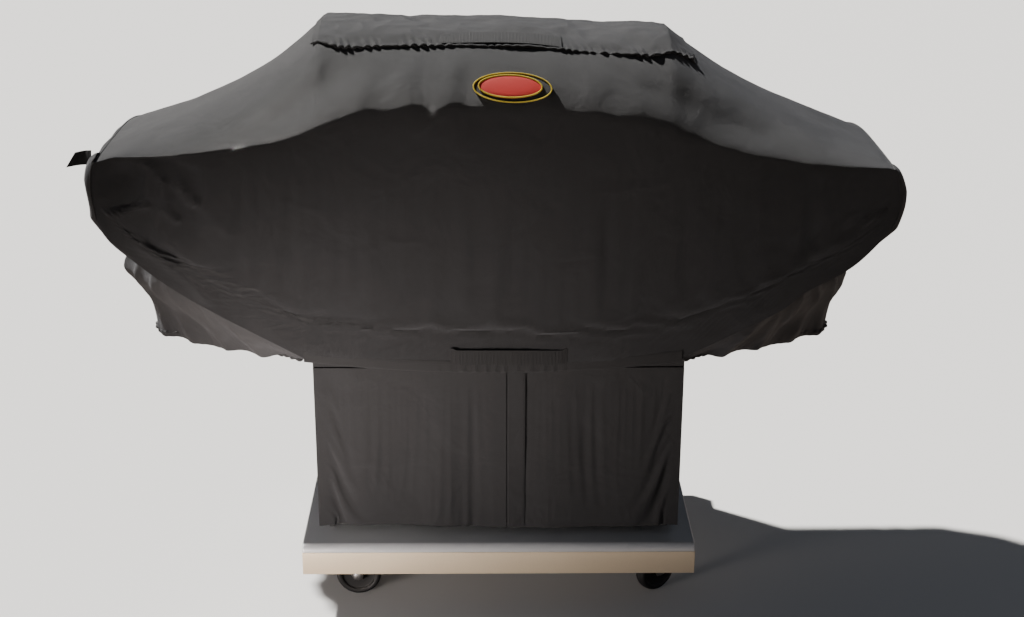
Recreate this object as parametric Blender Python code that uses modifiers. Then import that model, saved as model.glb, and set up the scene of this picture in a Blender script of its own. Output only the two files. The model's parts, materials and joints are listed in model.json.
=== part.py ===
"""A fabric cover on a wheeled grill cart. Metres, +Z up, front towards -Y.

The origin is on the ground below the middle of the object. The cover is a set of
thin sheets around a cart with a lid, two side shelves, a cabinet and four casters.
"""

import math

import bmesh
import bpy
from mathutils import Matrix, Vector

# ---- cover, overall ----
cover_half_width = 0.736
cover_front = -0.285
cover_rear = 0.285
crest_height = 1.130
fabric = 0.003
side_inset = 0.004
butt_gap = 0.001
hood_seam_gap = 0.0022
front_column_pitch = 0.0700
rear_column_pitch = 0.0875
skirt_half = 0.350

# ---- cover, top ----
lid_crest_half = 0.322
crest_y = -0.060
front_roll_depth = 0.225
front_roll_fall = 2.6
front_roll_round = 1.35
shoulder_bend = (0.462, 0.994)
wing_top_half = 0.710
wing_top_height = 0.919
ridge_middle_height = 1.012
ridge_wing_height = 0.917
ridge_spread = 0.380
lid_rear_drop = 0.170
wing_rear_drop = 0.075
hood_front_y = cover_front + 0.098
hood_rear_y = cover_rear - 0.125
hood_front_half = 0.350
hood_rear_half = 0.328

# ---- cover, lower edges ----
front_hem_middle = 0.515
front_hem_corner = (skirt_half, 0.537)
front_hem_belly = 0.25
wing_front_corner_height = 0.802
wing_rear_corner_height = 0.780
side_hem_height = 0.495
side_hem_dip = 0.018
side_hem_middle = (0.675, 0.010)
rear_hem_half = 0.640
rear_hem_height = 0.500
wing_lower_round = 0.010
side_hem_roundness = 0.30
elastic_radius = 0.0035
elastic_lead = 0.004
elastic_lift = 0.0031
elastic_end_gap = 0.006
binding_height = 0.022
binding_thickness = 0.0015

# ---- cart base ----
base_overhang = 0.031
base_half = skirt_half + base_overhang
base_rear = cover_rear - 0.023
base_top = 0.152
base_bottom = 0.09
base_sheet = 0.003
base_roll = 0.014
fascia_top = base_top - 0.015

# ---- skirt ----
skirt_front = cover_front + 0.0435
skirt_rear = cover_rear - 0.040
skirt_bottom = base_top + 0.021
flap_top = front_hem_middle - 0.0085
header_gap = 0.002
skirt_top = 0.637
skirt_split_x = 0.015
skirt_split_gap = 0.003
placket_width = 0.034
placket_thickness = 0.0015

# ---- straps, tabs and badge ----
top_strap_length = 0.220
top_strap_width = 0.038
hem_strap_length = 0.215
hem_strap_width = 0.028
webbing = 0.0022
strap_clearance = 0.0024
strap_setback = 0.004
strap_slope_share = 0.86
top_strap_x = 0.005
hem_strap_x = 0.020
hem_strap_height = front_hem_middle + 0.036
tab_reach = 0.048
tab_width = 0.025
tab_left = {"y": -0.225, "below_wing": 0.022, "droop": 20.0}
tab_right = {"y": -0.100, "below_wing": 0.057, "droop": 52.0}
badge_half_width = 0.070
badge_half_height = 0.034
badge_border = 0.006
badge_thickness = 0.0016
badge_clearance = 0.0012
badge_seam = 0.0006
badge_x = 0.016
badge_rise = 0.020

# ---- cabinet, firebox, lid and shelves ----
cabinet_half = skirt_half - 0.016
cabinet_front = cover_front + 0.080
cabinet_rear = cover_rear - 0.070
cabinet_top = 0.687
panel = 0.010
panel_sheet = 0.0012
door_gap = 0.003
door_bottom = base_top + 0.013
door_handle_x = 0.040
door_handle_height = 0.526
handle_length = 0.160
handle_radius = 0.004
handle_standoff = 0.008
firebox_half = 0.300
firebox_front = cover_front + 0.055
firebox_rear = cover_rear - 0.095
firebox_top = wing_top_height - 0.020
wall = 0.004
control_depth = 0.018
control_height = 0.085
lid_clearance = 0.021
lid_half = firebox_half
lid_handle_radius = 0.008
lid_handle_reach = 0.026
lid_handle_length = 0.420
shelf_inner = firebox_half + 0.010
shelf_outer = wing_top_half - 0.008
shelf_front = cover_front + 0.040
shelf_rear = cover_rear - 0.165
shelf_top = wing_top_height - 0.032
shelf_thickness = 0.026
shelf_sheet = 0.0015
bracket_width = 0.060
bracket_reach = 0.220
bracket_drop = 0.110
bracket_tip = 0.012
bracket_root = 0.020

# ---- casters ----
wheel_radius = 0.045
wheel_width = 0.024
wheel_bore = 0.0050
hub_radius = 0.014
axle_radius = 0.0045
axle_head_radius = 0.0085
axle_head = 0.004
caster_x = base_half - 0.081
caster_front_y = cover_front + 0.090
caster_rear_y = base_rear - 0.072
caster_trail = 0.020
plate_side = 0.062
plate_thickness = 0.003
stem_radius = 0.013
crown_clearance = 0.006
fork_sheet = 0.003
fork_crown = 0.036
fork_foot = 0.018
fork_side_gap = 0.0025
fork_bow = 0.0012
running_gap = 0.0004
wheel_headings = {"fl": 0.0, "fr": 36.0, "rl": 70.0, "rr": 115.0}

fit_gap = 0.0004


# ---------------------------------------------------------------- materials

def material(name, colour, roughness, metallic):
    made = bpy.data.materials.new(name)
    made.use_nodes = True
    shader = made.node_tree.nodes["Principled BSDF"]
    shader.inputs["Base Color"].default_value = (*colour, 1)
    shader.inputs["Roughness"].default_value = roughness
    shader.inputs["Metallic"].default_value = metallic
    return made


def make_materials():
    return {
        "cover_fabric": material("cover_fabric", (0.020, 0.020, 0.022), 0.80, 0),
        "webbing": material("webbing", (0.014, 0.014, 0.015), 0.70, 0),
        "elastic": material("elastic", (0.016, 0.016, 0.017), 0.80, 0),
        "badge_red": material("badge_red", (0.62, 0.030, 0.022), 0.45, 0),
        "badge_yellow": material("badge_yellow", (0.72, 0.50, 0.035), 0.45, 0),
        "base_metal": material("base_metal", (0.55, 0.57, 0.60), 0.32, 0.85),
        "fascia_metal": material("fascia_metal", (0.36, 0.29, 0.20), 0.36, 0.35),
        "cabinet_paint": material("cabinet_paint", (0.045, 0.046, 0.048), 0.45, 0),
        "lid_enamel": material("lid_enamel", (0.030, 0.030, 0.032), 0.30, 0),
        "steel": material("steel", (0.58, 0.58, 0.57), 0.30, 1),
        "zinc": material("zinc", (0.60, 0.61, 0.63), 0.35, 1),
        "wheel_rubber": material("wheel_rubber", (0.018, 0.018, 0.019), 0.60, 0),
    }


# ---------------------------------------------------------------- builders

def add_mesh_object(name, mesh, mat, at=(0, 0, 0)):
    made = bpy.data.objects.new(name, mesh)
    made.location = at
    mesh.materials.clear()
    mesh.materials.append(materials[mat])
    parts.objects.link(made)
    return made


def mesh_from_bmesh(name, work):
    mesh = bpy.data.meshes.new(name)
    bmesh.ops.recalc_face_normals(work, faces=work.faces)
    work.to_mesh(mesh)
    work.free()
    return mesh


def box(name, low, high, mat, rounding=0.0):
    """A box between two corners, with its edges rounded when asked."""
    low, high = Vector(low), Vector(high)
    work = bmesh.new()
    bmesh.ops.create_cube(work, size=1)
    bmesh.ops.scale(work, vec=high - low, verts=work.verts)
    made = add_mesh_object(name, mesh_from_bmesh(name, work), mat, (low + high) / 2)
    if rounding:
        edge = made.modifiers.new("rounding", "BEVEL")
        edge.width = rounding
        edge.segments = 1
    return made


def sheet(name, rows, mat, facing, thickness=fabric, outward=False):
    """An open grid of points, its normals turned towards facing, thickened into a shell.
    The points are its outer face, or its inner face when outward is set."""
    work = bmesh.new()
    grid = [[work.verts.new(point) for point in row] for row in rows]
    for upper, lower in zip(grid, grid[1:]):
        for a, b, c, d in zip(upper, upper[1:], lower[1:], lower):
            work.faces.new((a, b, c, d))
    return thicken(name, work, mat, facing, thickness, outward)


def thicken(name, work, mat, facing, thickness, outward):
    work.normal_update()
    total = sum((face.normal * face.calc_area() for face in work.faces), Vector())
    if total.dot(Vector(facing)) < 0:
        bmesh.ops.reverse_faces(work, faces=work.faces)
    mesh = bpy.data.meshes.new(name)
    work.to_mesh(mesh)
    work.free()
    made = add_mesh_object(name, mesh, mat)
    depth = made.modifiers.new("thickness", "SOLIDIFY")
    depth.thickness = thickness
    depth.offset = 1 if outward else -1
    depth.use_even_offset = True
    return made


def tube(name, points, radius, mat, cyclic=False, sides=1):
    curve = bpy.data.curves.new(name, "CURVE")
    curve.dimensions = "3D"
    curve.bevel_depth = radius
    curve.bevel_resolution = sides
    curve.use_fill_caps = not cyclic
    spline = curve.splines.new("POLY")
    spline.points.add(len(points) - 1)
    for target, point in zip(spline.points, points):
        target.co = (*point, 1)
    spline.use_cyclic_u = cyclic
    made = bpy.data.objects.new(name, curve)
    curve.materials.append(materials[mat])
    parts.objects.link(made)
    return made


def turned(name, profile, mat, steps, closed=True):
    """A profile of (radius, height) points, top to bottom on its outer side, spun about Z.
    It is joined end to end when closed, or starts and ends on the axis."""
    mesh = bpy.data.meshes.new(name)
    points = [(r, 0, z) for r, z in profile]
    count = len(points)
    edges = [(i, (i + 1) % count) for i in range(count if closed else count - 1)]
    mesh.from_pydata(points, edges, [])
    made = add_mesh_object(name, mesh, mat)
    spin = made.modifiers.new("spin", "SCREW")
    spin.steps = steps
    spin.render_steps = steps
    spin.use_merge_vertices = True
    spin.merge_threshold = 0.0001
    return made


def cutter(name, radius, depth, at, turn):
    work = bmesh.new()
    bmesh.ops.create_cone(
        work, cap_ends=True, segments=20, radius1=radius, radius2=radius, depth=depth
    )
    made = bpy.data.objects.new(name, mesh_from_bmesh(name, work))
    made.matrix_world = Matrix.Translation(at) @ turn
    made.hide_render = True
    made.display_type = "WIRE"
    cutters.objects.link(made)
    return made


def cut(target, tool, operation="DIFFERENCE"):
    step = target.modifiers.new(operation.lower(), "BOOLEAN")
    step.operation = operation
    step.object = tool


def pivot(name, at, parent=None):
    made = bpy.data.objects.new(name, None)
    made.location = at
    parts.objects.link(made)
    if parent:
        made.parent = parent
    return made


def hang_on(piece, holder):
    """Parents a piece that was placed in the world to an unturned holder."""
    piece.parent = holder
    piece.location = piece.location - holder_place(holder)


def holder_place(holder):
    place = Vector(holder.location)
    while holder.parent:
        holder = holder.parent
        place += holder.location
    return place


def spaced(low, high, count):
    return [low + (high - low) * i / (count - 1) for i in range(count)]


# ---------------------------------------------------------------- cover shape

def crest_at(x):
    """Height of the cover's highest line at x: level over the lid, then a concave shoulder."""
    reach = abs(x)
    if reach <= lid_crest_half:
        return crest_height
    x0, x1, x2 = lid_crest_half, shoulder_bend[0], wing_top_half
    a = x0 - 2 * x1 + x2
    b = 2 * (x1 - x0)
    c = x0 - min(reach, wing_top_half)
    t = (-b + math.sqrt(b * b - 4 * a * c)) / (2 * a)
    return crest_height * (1 - t) ** 2 + 2 * shoulder_bend[1] * t * (1 - t) + wing_top_height * t * t


def ridge_at(x):
    """Height at which the front face starts to roll back towards the top."""
    rise = ridge_middle_height - ridge_wing_height
    wanted = ridge_wing_height + rise * math.exp(-((abs(x) / ridge_spread) ** 2.5))
    return min(wanted, crest_at(x) - 0.004)


def rear_drop_at(x):
    share = min(max((abs(x) - lid_crest_half) / (wing_top_half - lid_crest_half), 0), 1)
    return lid_rear_drop + (wing_rear_drop - lid_rear_drop) * share


def top_at(x, y):
    """Height of the cover's top sheet."""
    crest = crest_at(x)
    if y >= crest_y:
        share = (y - crest_y) / (cover_rear - crest_y)
        return crest - rear_drop_at(x) * share**2
    share = max((y - cover_front) / front_roll_depth, 0)
    ridge = ridge_at(x)
    return ridge + (crest - ridge) * (1 - (1 - min(share, 1)) ** front_roll_fall) ** (1 / front_roll_round)


def over_top(x, y, lift):
    """A point off the top sheet, square to its slope from front to back."""
    step = 0.0005
    slope = (top_at(x, y + step) - top_at(x, y - step)) / (2 * step)
    return Vector((x, y, top_at(x, y))) + Vector((0, -slope, 1)).normalized() * lift


def front_hem_at(x):
    """Height of the front panel's lower edge: a shallow curve, then the fold up to the wing."""
    corner_x, corner_z = front_hem_corner
    reach = abs(x)
    if reach <= corner_x:
        return front_hem_middle + (corner_z - front_hem_middle) * (reach / corner_x) ** 2
    share = (reach - corner_x) / (cover_half_width - corner_x)
    share = (1 - front_hem_belly) * share + front_hem_belly * share**6
    return corner_z + (wing_front_corner_height - corner_z) * share


def wing_roll(share):
    """How far in from the wing's end its rounded upper corner lies, from 0 low down to 1 on top."""
    bend = min(max((share - 0.55) / 0.45, 0), 1)
    return 1 - math.sqrt(1 - bend * bend)


def front_upright_point(u, v):
    half = cover_half_width - (cover_half_width - wing_top_half) * wing_roll(v)
    half -= wing_lower_round * max(1 - v / 0.5, 0) ** 2
    low = front_hem_at(u * cover_half_width)
    high = ridge_at(u * wing_top_half)
    return Vector((u * half, cover_front, low + (high - low) * v))


def front_roll_point(x, depth):
    y = cover_front + depth
    return Vector((x, y, top_at(x, y)))


def column_shares(corner_x, half, pitch):
    """Column positions from -1 to 1 with one at corner_x, about pitch apart inside it."""
    corner = corner_x / half
    steps = round(corner_x / pitch) + 1
    inner = spaced(0, corner, steps)
    outer = spaced(corner, 1, steps + 2)[1:]
    half = inner[1:] + outer
    return [-value for value in reversed(half)] + [0] + half


# ---------------------------------------------------------------- cover pieces

def make_front_panel():
    shares = column_shares(front_hem_corner[0], cover_half_width, front_column_pitch)
    rows = [[front_upright_point(u, v) for u in shares] for v in (0, 0.25, 0.5, 0.7, 0.85, 0.95, 1)]
    last = hood_front_y - butt_gap / 2 - cover_front
    for step in spaced(0, 1, 6)[1:]:
        rows.append([front_roll_point(u * wing_top_half, last * step**1.8) for u in shares])
    return sheet("front_panel", rows, "cover_fabric", (0, -1, 0))


def hood_half_at(y):
    share = (y - hood_front_y) / (hood_rear_y - hood_front_y)
    return hood_front_half + (hood_rear_half - hood_front_half) * share


def top_rows(inner, outer, columns, y_values):
    """Rows of points on the top sheet, from inner(y) to outer(y)."""
    rows = []
    for y in y_values:
        rows.append([Vector((x, y, top_at(x, y))) for x in spaced(inner(y), outer(y), columns)])
    return rows


def make_top_hood():
    y_values = spaced(hood_rear_y - butt_gap / 2, crest_y, 5)[:-1]
    y_values += spaced(crest_y, hood_front_y + hood_seam_gap, 6)
    rows = top_rows(lambda y: -hood_half_at(y), hood_half_at, 15, y_values)
    return sheet("top_hood", rows, "cover_fabric", (0, 0, 1))


def make_shoulder(side, sign):
    y_values = spaced(hood_rear_y - butt_gap / 2, crest_y, 5)[:-1]
    y_values += spaced(crest_y, hood_front_y + hood_seam_gap, 6)

    def inner(y):
        return sign * (hood_half_at(y) + 0.002)

    def outer(y):
        return sign * (wing_top_half - butt_gap / 2)

    return sheet(f"shoulder_{side}", top_rows(inner, outer, 9, y_values), "cover_fabric", (0, 0, 1))


def rear_hem_share(v):
    return 1 - (1 - rear_hem_half / cover_half_width) * max((v - 0.35) / 0.65, 0)


def make_rear_panel():
    shares = column_shares(hood_rear_half + fabric, wing_top_half, rear_column_pitch)
    first = hood_rear_y + butt_gap / 2
    rows = []
    for y in spaced(first, cover_rear, 5):
        rows.append([Vector((u * wing_top_half, y, top_at(u * wing_top_half, y))) for u in shares])
    for v in (0.08, 0.16, 0.35, 0.65, 1):
        row = []
        for u in shares:
            high = top_at(u * wing_top_half, cover_rear)
            half = cover_half_width - (cover_half_width - wing_top_half) * wing_roll(1 - v)
            half *= rear_hem_share(v)
            row.append(Vector((u * half, cover_rear, high + (rear_hem_height - high) * v)))
        rows.append(row)
    return sheet("rear_panel", rows, "cover_fabric", (0, 1, 0))


def side_hem_point(share):
    """The side hem, from the front corner (0) round to the rear corner (1)."""
    start = Vector((front_hem_corner[0] + 0.010, cover_front + fabric + side_inset))
    middle = Vector(side_hem_middle)
    end = Vector((rear_hem_half - 0.010, cover_rear - fabric - side_inset))
    bend = 2 * middle - (start + end) / 2
    smooth = start * (1 - share) ** 2 + 2 * bend * share * (1 - share) + end * share**2
    sharp = start.lerp(middle, 2 * share) if share < 0.5 else middle.lerp(end, 2 * share - 1)
    flat = sharp.lerp(smooth, side_hem_roundness)
    low = front_hem_corner[1] * (1 - share) + side_hem_height * share
    low -= side_hem_dip * math.sin(math.pi * share)
    return Vector((flat.x, flat.y, low))


def side_column(share):
    """Points down the side panel at one place between front (0) and rear (1)."""
    front = cover_front + fabric + side_inset
    y = front + (cover_rear - fabric - side_inset - front) * share
    x0 = wing_top_half + 2 * butt_gap
    reach = cover_half_width - x0
    top = top_at(wing_top_half, y)
    lip = wing_front_corner_height + (wing_rear_corner_height - wing_front_corner_height) * share
    points = []
    for angle in (0, 30, 60, 90):
        turn = math.radians(angle)
        points.append(Vector((x0 + reach * math.sin(turn), y, top - 0.045 * (1 - math.cos(turn)))))
    foot = Vector((cover_half_width - wing_lower_round, y, min(lip, top - 0.055)))
    hem = side_hem_point(share)
    points += [foot.lerp(hem, step) for step in spaced(0, 1, 5)]
    return points


def make_side_panel(side, sign):
    columns = [side_column(share) for share in spaced(0, 1, 13)]
    rows = [[Vector((sign * p.x, p.y, p.z)) for p in row] for row in zip(*columns)]
    return sheet(f"side_panel_{side}", rows, "cover_fabric", (sign, 0, 0))


def make_side_elastic(side, sign):
    drop = elastic_radius + 0.0015
    points = []
    for share in spaced(0.04, 0.96, 12):
        point = side_hem_point(share)
        points.append((sign * (point.x - fabric / 2), point.y, point.z - drop))
    return tube(f"hem_elastic_{side}", points, elastic_radius, "elastic")


def make_hood_elastic():
    """The elastic in the hood's front hem, lying on the front panel just ahead of the hood."""
    y = hood_front_y - elastic_lead
    half = hood_front_half - elastic_end_gap
    points = [over_top(x, y, elastic_radius + elastic_lift) for x in spaced(-half, half, 17)]
    return tube("hood_elastic", points, elastic_radius, "elastic")


def make_hem_binding():
    front = cover_front - fit_gap
    upper, lower = [], []
    for x in spaced(-front_hem_corner[0], front_hem_corner[0], 11):
        upper.append(Vector((x, front, front_hem_at(x) + binding_height)))
        lower.append(Vector((x, front, front_hem_at(x) + 0.0005)))
    return sheet("hem_binding", [upper, lower], "cover_fabric", (0, -1, 0), binding_thickness, outward=True)


# ---------------------------------------------------------------- straps, tabs and badge

def make_top_strap():
    """Webbing along the hood's front edge, a little clear of it so that a hand can get under."""
    first = hood_front_y + strap_setback
    rows = []
    for step in spaced(1, 0, 4):
        row = []
        for x in spaced(top_strap_x - top_strap_length / 2, top_strap_x + top_strap_length / 2, 9):
            y = first + top_strap_width * strap_slope_share * step
            row.append(over_top(x, y, strap_clearance))
        rows.append(row)
    return sheet("top_pull_strap", rows, "webbing", (0, -1, 1), webbing, outward=True)


def make_hem_strap():
    front = cover_front - binding_thickness - 2 * fit_gap
    low = (hem_strap_x - hem_strap_length / 2, front - webbing, hem_strap_height - hem_strap_width / 2)
    high = (hem_strap_x + hem_strap_length / 2, front, hem_strap_height + hem_strap_width / 2)
    return box("hem_pull_strap", low, high, "webbing")


def make_tab(side, sign, place):
    height = wing_top_height - place["below_wing"]
    root = pivot(f"tab_{side}_pivot", (sign * (cover_half_width + fabric), place["y"], height))
    work = bmesh.new()
    bmesh.ops.create_cube(work, size=1)
    bmesh.ops.scale(work, vec=(tab_reach, tab_width, webbing), verts=work.verts)
    bmesh.ops.translate(work, vec=(tab_reach / 2, 0, 0), verts=work.verts)
    made = add_mesh_object(f"tab_{side}", mesh_from_bmesh(f"tab_{side}", work), "webbing")
    made.parent = root
    made.rotation_euler = (0, math.radians(place["droop"]), 0 if sign > 0 else math.pi)
    return made


def badge_point(x, rise, lift):
    """A point over the front panel: rise is the distance above the line where the roll starts."""
    def on_cover(x, rise):
        if rise <= 0:
            return Vector((x, cover_front, ridge_at(x) + rise))
        low, high = 0.0, front_roll_depth
        for _ in range(24):
            middle = (low + high) / 2
            point = front_roll_point(x, middle)
            if math.hypot(middle, point.z - ridge_at(x)) < rise:
                low = middle
            else:
                high = middle
        return front_roll_point(x, low)

    here = on_cover(x, rise)
    above = on_cover(x, rise + 0.003) - on_cover(x, rise - 0.003)
    across = on_cover(x + 0.003, rise) - on_cover(x - 0.003, rise)
    return here + across.cross(above).normalized() * lift


def badge_ring(scale, lift, spokes):
    """Points of an oval round the badge's middle."""
    ring = []
    for index in range(spokes):
        angle = 2 * math.pi * index / spokes
        x = badge_x + badge_half_width * scale[0] * math.cos(angle)
        ring.append(badge_point(x, badge_rise + badge_half_height * scale[1] * math.sin(angle), lift))
    return ring


def closed_rings(name, rings, mat, thickness):
    """Rings of points joined into an open sheet, filled at the middle when the last ring is one point."""
    work = bmesh.new()
    loops = [[work.verts.new(point) for point in ring] for ring in rings]
    for outer, inner in zip(loops, loops[1:]):
        count = len(outer)
        for i in range(count):
            j = (i + 1) % count
            if len(inner) == 1:
                work.faces.new((outer[i], outer[j], inner[0]))
            else:
                work.faces.new((outer[i], outer[j], inner[j], inner[i]))
    return thicken(name, work, mat, (0, -1, 0.5), thickness, outward=True)


def make_badge():
    lift = badge_clearance
    spokes = 24
    inner = (1 - badge_border / badge_half_width, 1 - badge_border / badge_half_height)
    seat = (inner[0] - badge_seam / badge_half_width, inner[1] - badge_seam / badge_half_height)
    border = [badge_ring((1, 1), lift, spokes), badge_ring(inner, lift, spokes)]
    closed_rings("badge_border", border, "badge_yellow", badge_thickness)
    middle = [badge_point(badge_x, badge_rise, lift)]
    face = [badge_ring(seat, lift, spokes)]
    face.append(badge_ring((seat[0] * 0.5, seat[1] * 0.5), lift, spokes))
    face.append(middle)
    closed_rings("badge_face", face, "badge_red", badge_thickness)


# ---------------------------------------------------------------- skirt

def make_skirt():
    front = skirt_front
    split_left = skirt_split_x - skirt_split_gap / 2
    split_right = skirt_split_x + skirt_split_gap / 2
    edge = skirt_half - fit_gap
    back = front + fabric
    flaps = {}
    for side, low_x, high_x in (("left", -edge, split_left), ("right", split_right, edge)):
        low = (low_x, front, skirt_bottom)
        flaps[side] = box(f"skirt_flap_{side}", low, (high_x, back, flap_top), "cover_fabric")
    placket = box(
        "skirt_placket",
        (split_right, front - fit_gap - placket_thickness, skirt_bottom + 0.001),
        (split_right + placket_width, front - fit_gap, flap_top - 0.001),
        "cover_fabric",
    )
    for side, sign in (("left", -1), ("right", 1)):
        hinge = pivot(f"skirt_{side}_hinge", (sign * skirt_half, front, skirt_bottom))
        hang_on(flaps[side], hinge)
        if side == "right":
            hang_on(placket, hinge)
        low_x, high_x = sorted((sign * skirt_half, sign * (skirt_half - fabric)))
        box(
            f"skirt_side_{side}",
            (low_x, back + butt_gap, skirt_bottom),
            (high_x, skirt_rear - fabric - butt_gap, skirt_top),
            "cover_fabric",
        )
    low = (-skirt_half, skirt_rear - fabric, skirt_bottom)
    box("skirt_rear", low, (skirt_half, skirt_rear, skirt_top), "cover_fabric")
    header_bottom = flap_top + header_gap
    box("skirt_header", (-edge, front, header_bottom), (edge, back, skirt_top), "cover_fabric")


# ---------------------------------------------------------------- cart base

def make_base():
    """A folded deck whose front edge rolls down to a flat fascia, with end plates and a rear rail."""
    outline = [Vector((0, base_rear - base_sheet - fit_gap, base_top))]
    for angle in spaced(90, 180, 6):
        turn = math.radians(angle)
        y = cover_front + base_roll + base_roll * math.cos(turn)
        z = base_top - base_roll + base_roll * math.sin(turn)
        outline.append(Vector((0, y, z)))
    rows = [[Vector((x, p.y, p.z)) for x in (-base_half, base_half)] for p in outline]
    sheet("base_deck", rows, "base_metal", (0, 0, 1), base_sheet)
    front = cover_front
    high = (base_half, front + base_sheet, fascia_top)
    box("front_fascia", (-base_half, front, base_bottom), high, "fascia_metal")
    inner_top = base_top - base_sheet - fit_gap
    for side, sign in (("left", -1), ("right", 1)):
        low_x, high_x = sorted((sign * base_half, sign * (base_half - base_sheet)))
        box(
            f"base_end_{side}",
            (low_x, front + base_sheet + fit_gap, base_bottom),
            (high_x, base_rear - base_sheet - 2 * fit_gap, inner_top - base_roll),
            "base_metal",
        )
    low = (-base_half, base_rear - base_sheet, base_bottom)
    box("base_rear_rail", low, (base_half, base_rear, base_top), "base_metal")


# ---------------------------------------------------------------- cabinet and grill

def make_cabinet():
    low = base_top + fit_gap
    for side, sign in (("left", -1), ("right", 1)):
        low_x, high_x = sorted((sign * cabinet_half, sign * (cabinet_half - panel)))
        pan(
            f"cabinet_side_{side}",
            (low_x, cabinet_front, low),
            (high_x, cabinet_rear, cabinet_top),
            "cabinet_paint",
            panel_sheet,
            (-sign, 0, 0),
        )
        inner, outer = sorted((sign * door_gap / 2, sign * (cabinet_half - door_gap)))
        front = cabinet_front - panel - fit_gap
        pan(
            f"door_{side}",
            (inner, front, door_bottom),
            (outer, front + panel, cabinet_top - door_gap),
            "cabinet_paint",
            panel_sheet,
            (0, 1, 0),
        )
        foot = (sign * door_handle_x, front, door_handle_height)
        make_bar_handle(f"door_handle_{side}", foot, "Z")
    inner_half = cabinet_half - panel - fit_gap
    pan(
        "cabinet_back",
        (-inner_half, cabinet_rear - panel, low),
        (inner_half, cabinet_rear, cabinet_top),
        "cabinet_paint",
        panel_sheet,
        (0, -1, 0),
    )


def make_bar_handle(name, foot, axis):
    """A rod bent at both ends, standing off the face at foot."""
    along = Vector((0, 0, 1)) if axis == "Z" else Vector((1, 0, 0))
    radius, reach, length = handle_radius, handle_standoff, handle_length
    if name == "lid_handle":
        radius, reach, length = lid_handle_radius, lid_handle_reach, lid_handle_length
    foot = Vector(foot)
    out = Vector((0, -1, 0))
    half = along * length / 2
    gap = out * fit_gap
    points = [
        foot - half + gap,
        foot - half + out * reach,
        foot + half + out * reach,
        foot + half + gap,
    ]
    return tube(name, points, radius, "steel", sides=2)


def pan(name, low, high, mat, thickness, open_normal):
    """A folded sheet pan: a box shell with the face along open_normal left out."""
    low, high = Vector(low), Vector(high)
    work = bmesh.new()
    bmesh.ops.create_cube(work, size=1)
    bmesh.ops.scale(work, vec=high - low, verts=work.verts)
    bmesh.ops.translate(work, vec=(low + high) / 2, verts=work.verts)
    work.normal_update()
    opened = [face for face in work.faces if face.normal.dot(Vector(open_normal)) > 0.9]
    bmesh.ops.delete(work, geom=opened, context="FACES")
    mesh = bpy.data.meshes.new(name)
    work.to_mesh(mesh)
    work.free()
    made = add_mesh_object(name, mesh, mat)
    wall_of = made.modifiers.new("wall", "SOLIDIFY")
    wall_of.thickness = thickness
    wall_of.offset = -1
    wall_of.use_even_offset = True
    return made


def make_firebox():
    low = (-firebox_half, firebox_front, cabinet_top + fit_gap)
    pan("firebox", low, (firebox_half, firebox_rear, firebox_top), "lid_enamel", wall, (0, 0, 1))
    front = firebox_front - fit_gap
    half = shelf_inner - 0.002
    low = (-half, front - control_depth, firebox_top - control_height - 0.020)
    box("control_panel", low, (half, front, firebox_top - 0.020), "steel", 0.004)


def make_lid():
    """A hood of bent sheet with closed ends, following the cover's top from below."""
    low = firebox_top + 0.002
    outline = [(firebox_front, low)]
    for y in spaced(firebox_front, firebox_rear, 9):
        # on the steep front it also stays clear level, not only upwards
        cover = min(top_at(lid_half, y), top_at(lid_half, y - lid_clearance / 3))
        outline.append((y, cover - lid_clearance))
    outline.append((firebox_rear, low))
    work = bmesh.new()
    ends = [[work.verts.new((x, y, z)) for y, z in outline] for x in (-lid_half, lid_half)]
    for i in range(len(outline) - 1):
        work.faces.new((ends[0][i], ends[0][i + 1], ends[1][i + 1], ends[1][i]))
    work.faces.new(ends[0][::-1])
    work.faces.new(ends[1])
    mesh = bpy.data.meshes.new("lid")
    bmesh.ops.recalc_face_normals(work, faces=work.faces)
    work.to_mesh(mesh)
    work.free()
    made = add_mesh_object("lid", mesh, "lid_enamel")
    wall_of = made.modifiers.new("wall", "SOLIDIFY")
    wall_of.thickness = wall
    wall_of.offset = -1
    wall_of.use_even_offset = True
    make_bar_handle("lid_handle", (0, firebox_front, low + 0.050), "X")


def make_shelves():
    low = shelf_top - shelf_thickness
    for side, sign in (("left", -1), ("right", 1)):
        low_x, high_x = sorted((sign * shelf_inner, sign * shelf_outer))
        pan(
            f"side_shelf_{side}",
            (low_x, shelf_front, low),
            (high_x, shelf_rear, shelf_top),
            "cabinet_paint",
            shelf_sheet,
            (0, 0, -1),
        )
        make_bracket(f"shelf_bracket_{side}", sign, (shelf_front + shelf_rear) / 2, low - fit_gap)


def make_bracket(name, sign, y, top):
    """A three-cornered plate under a shelf, against the firebox side."""
    root = sign * (firebox_half + fit_gap)
    outline = [(root, top), (root + sign * bracket_reach, top), (root + sign * bracket_reach, top - bracket_tip)]
    outline += [(root + sign * bracket_root, top - bracket_drop), (root, top - bracket_drop)]
    curve = bpy.data.curves.new(name, "CURVE")
    curve.dimensions = "2D"
    curve.fill_mode = "BOTH"
    curve.extrude = bracket_width / 2
    spline = curve.splines.new("POLY")
    spline.points.add(len(outline) - 1)
    for target, (x, z) in zip(spline.points, outline):
        target.co = (x, z, 0, 1)
    spline.use_cyclic_u = True
    made = bpy.data.objects.new(name, curve)
    curve.materials.append(materials["steel"])
    made.rotation_euler = (math.pi / 2, 0, 0)
    made.location = (0, y, 0)
    parts.objects.link(made)
    return made


# ---------------------------------------------------------------- casters

def fork_clearance():
    return wheel_width / 2 + fork_side_gap


def crown_height():
    """Top of the fork's crown, just above the wheel."""
    return 2 * wheel_radius + crown_clearance + fork_sheet


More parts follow.
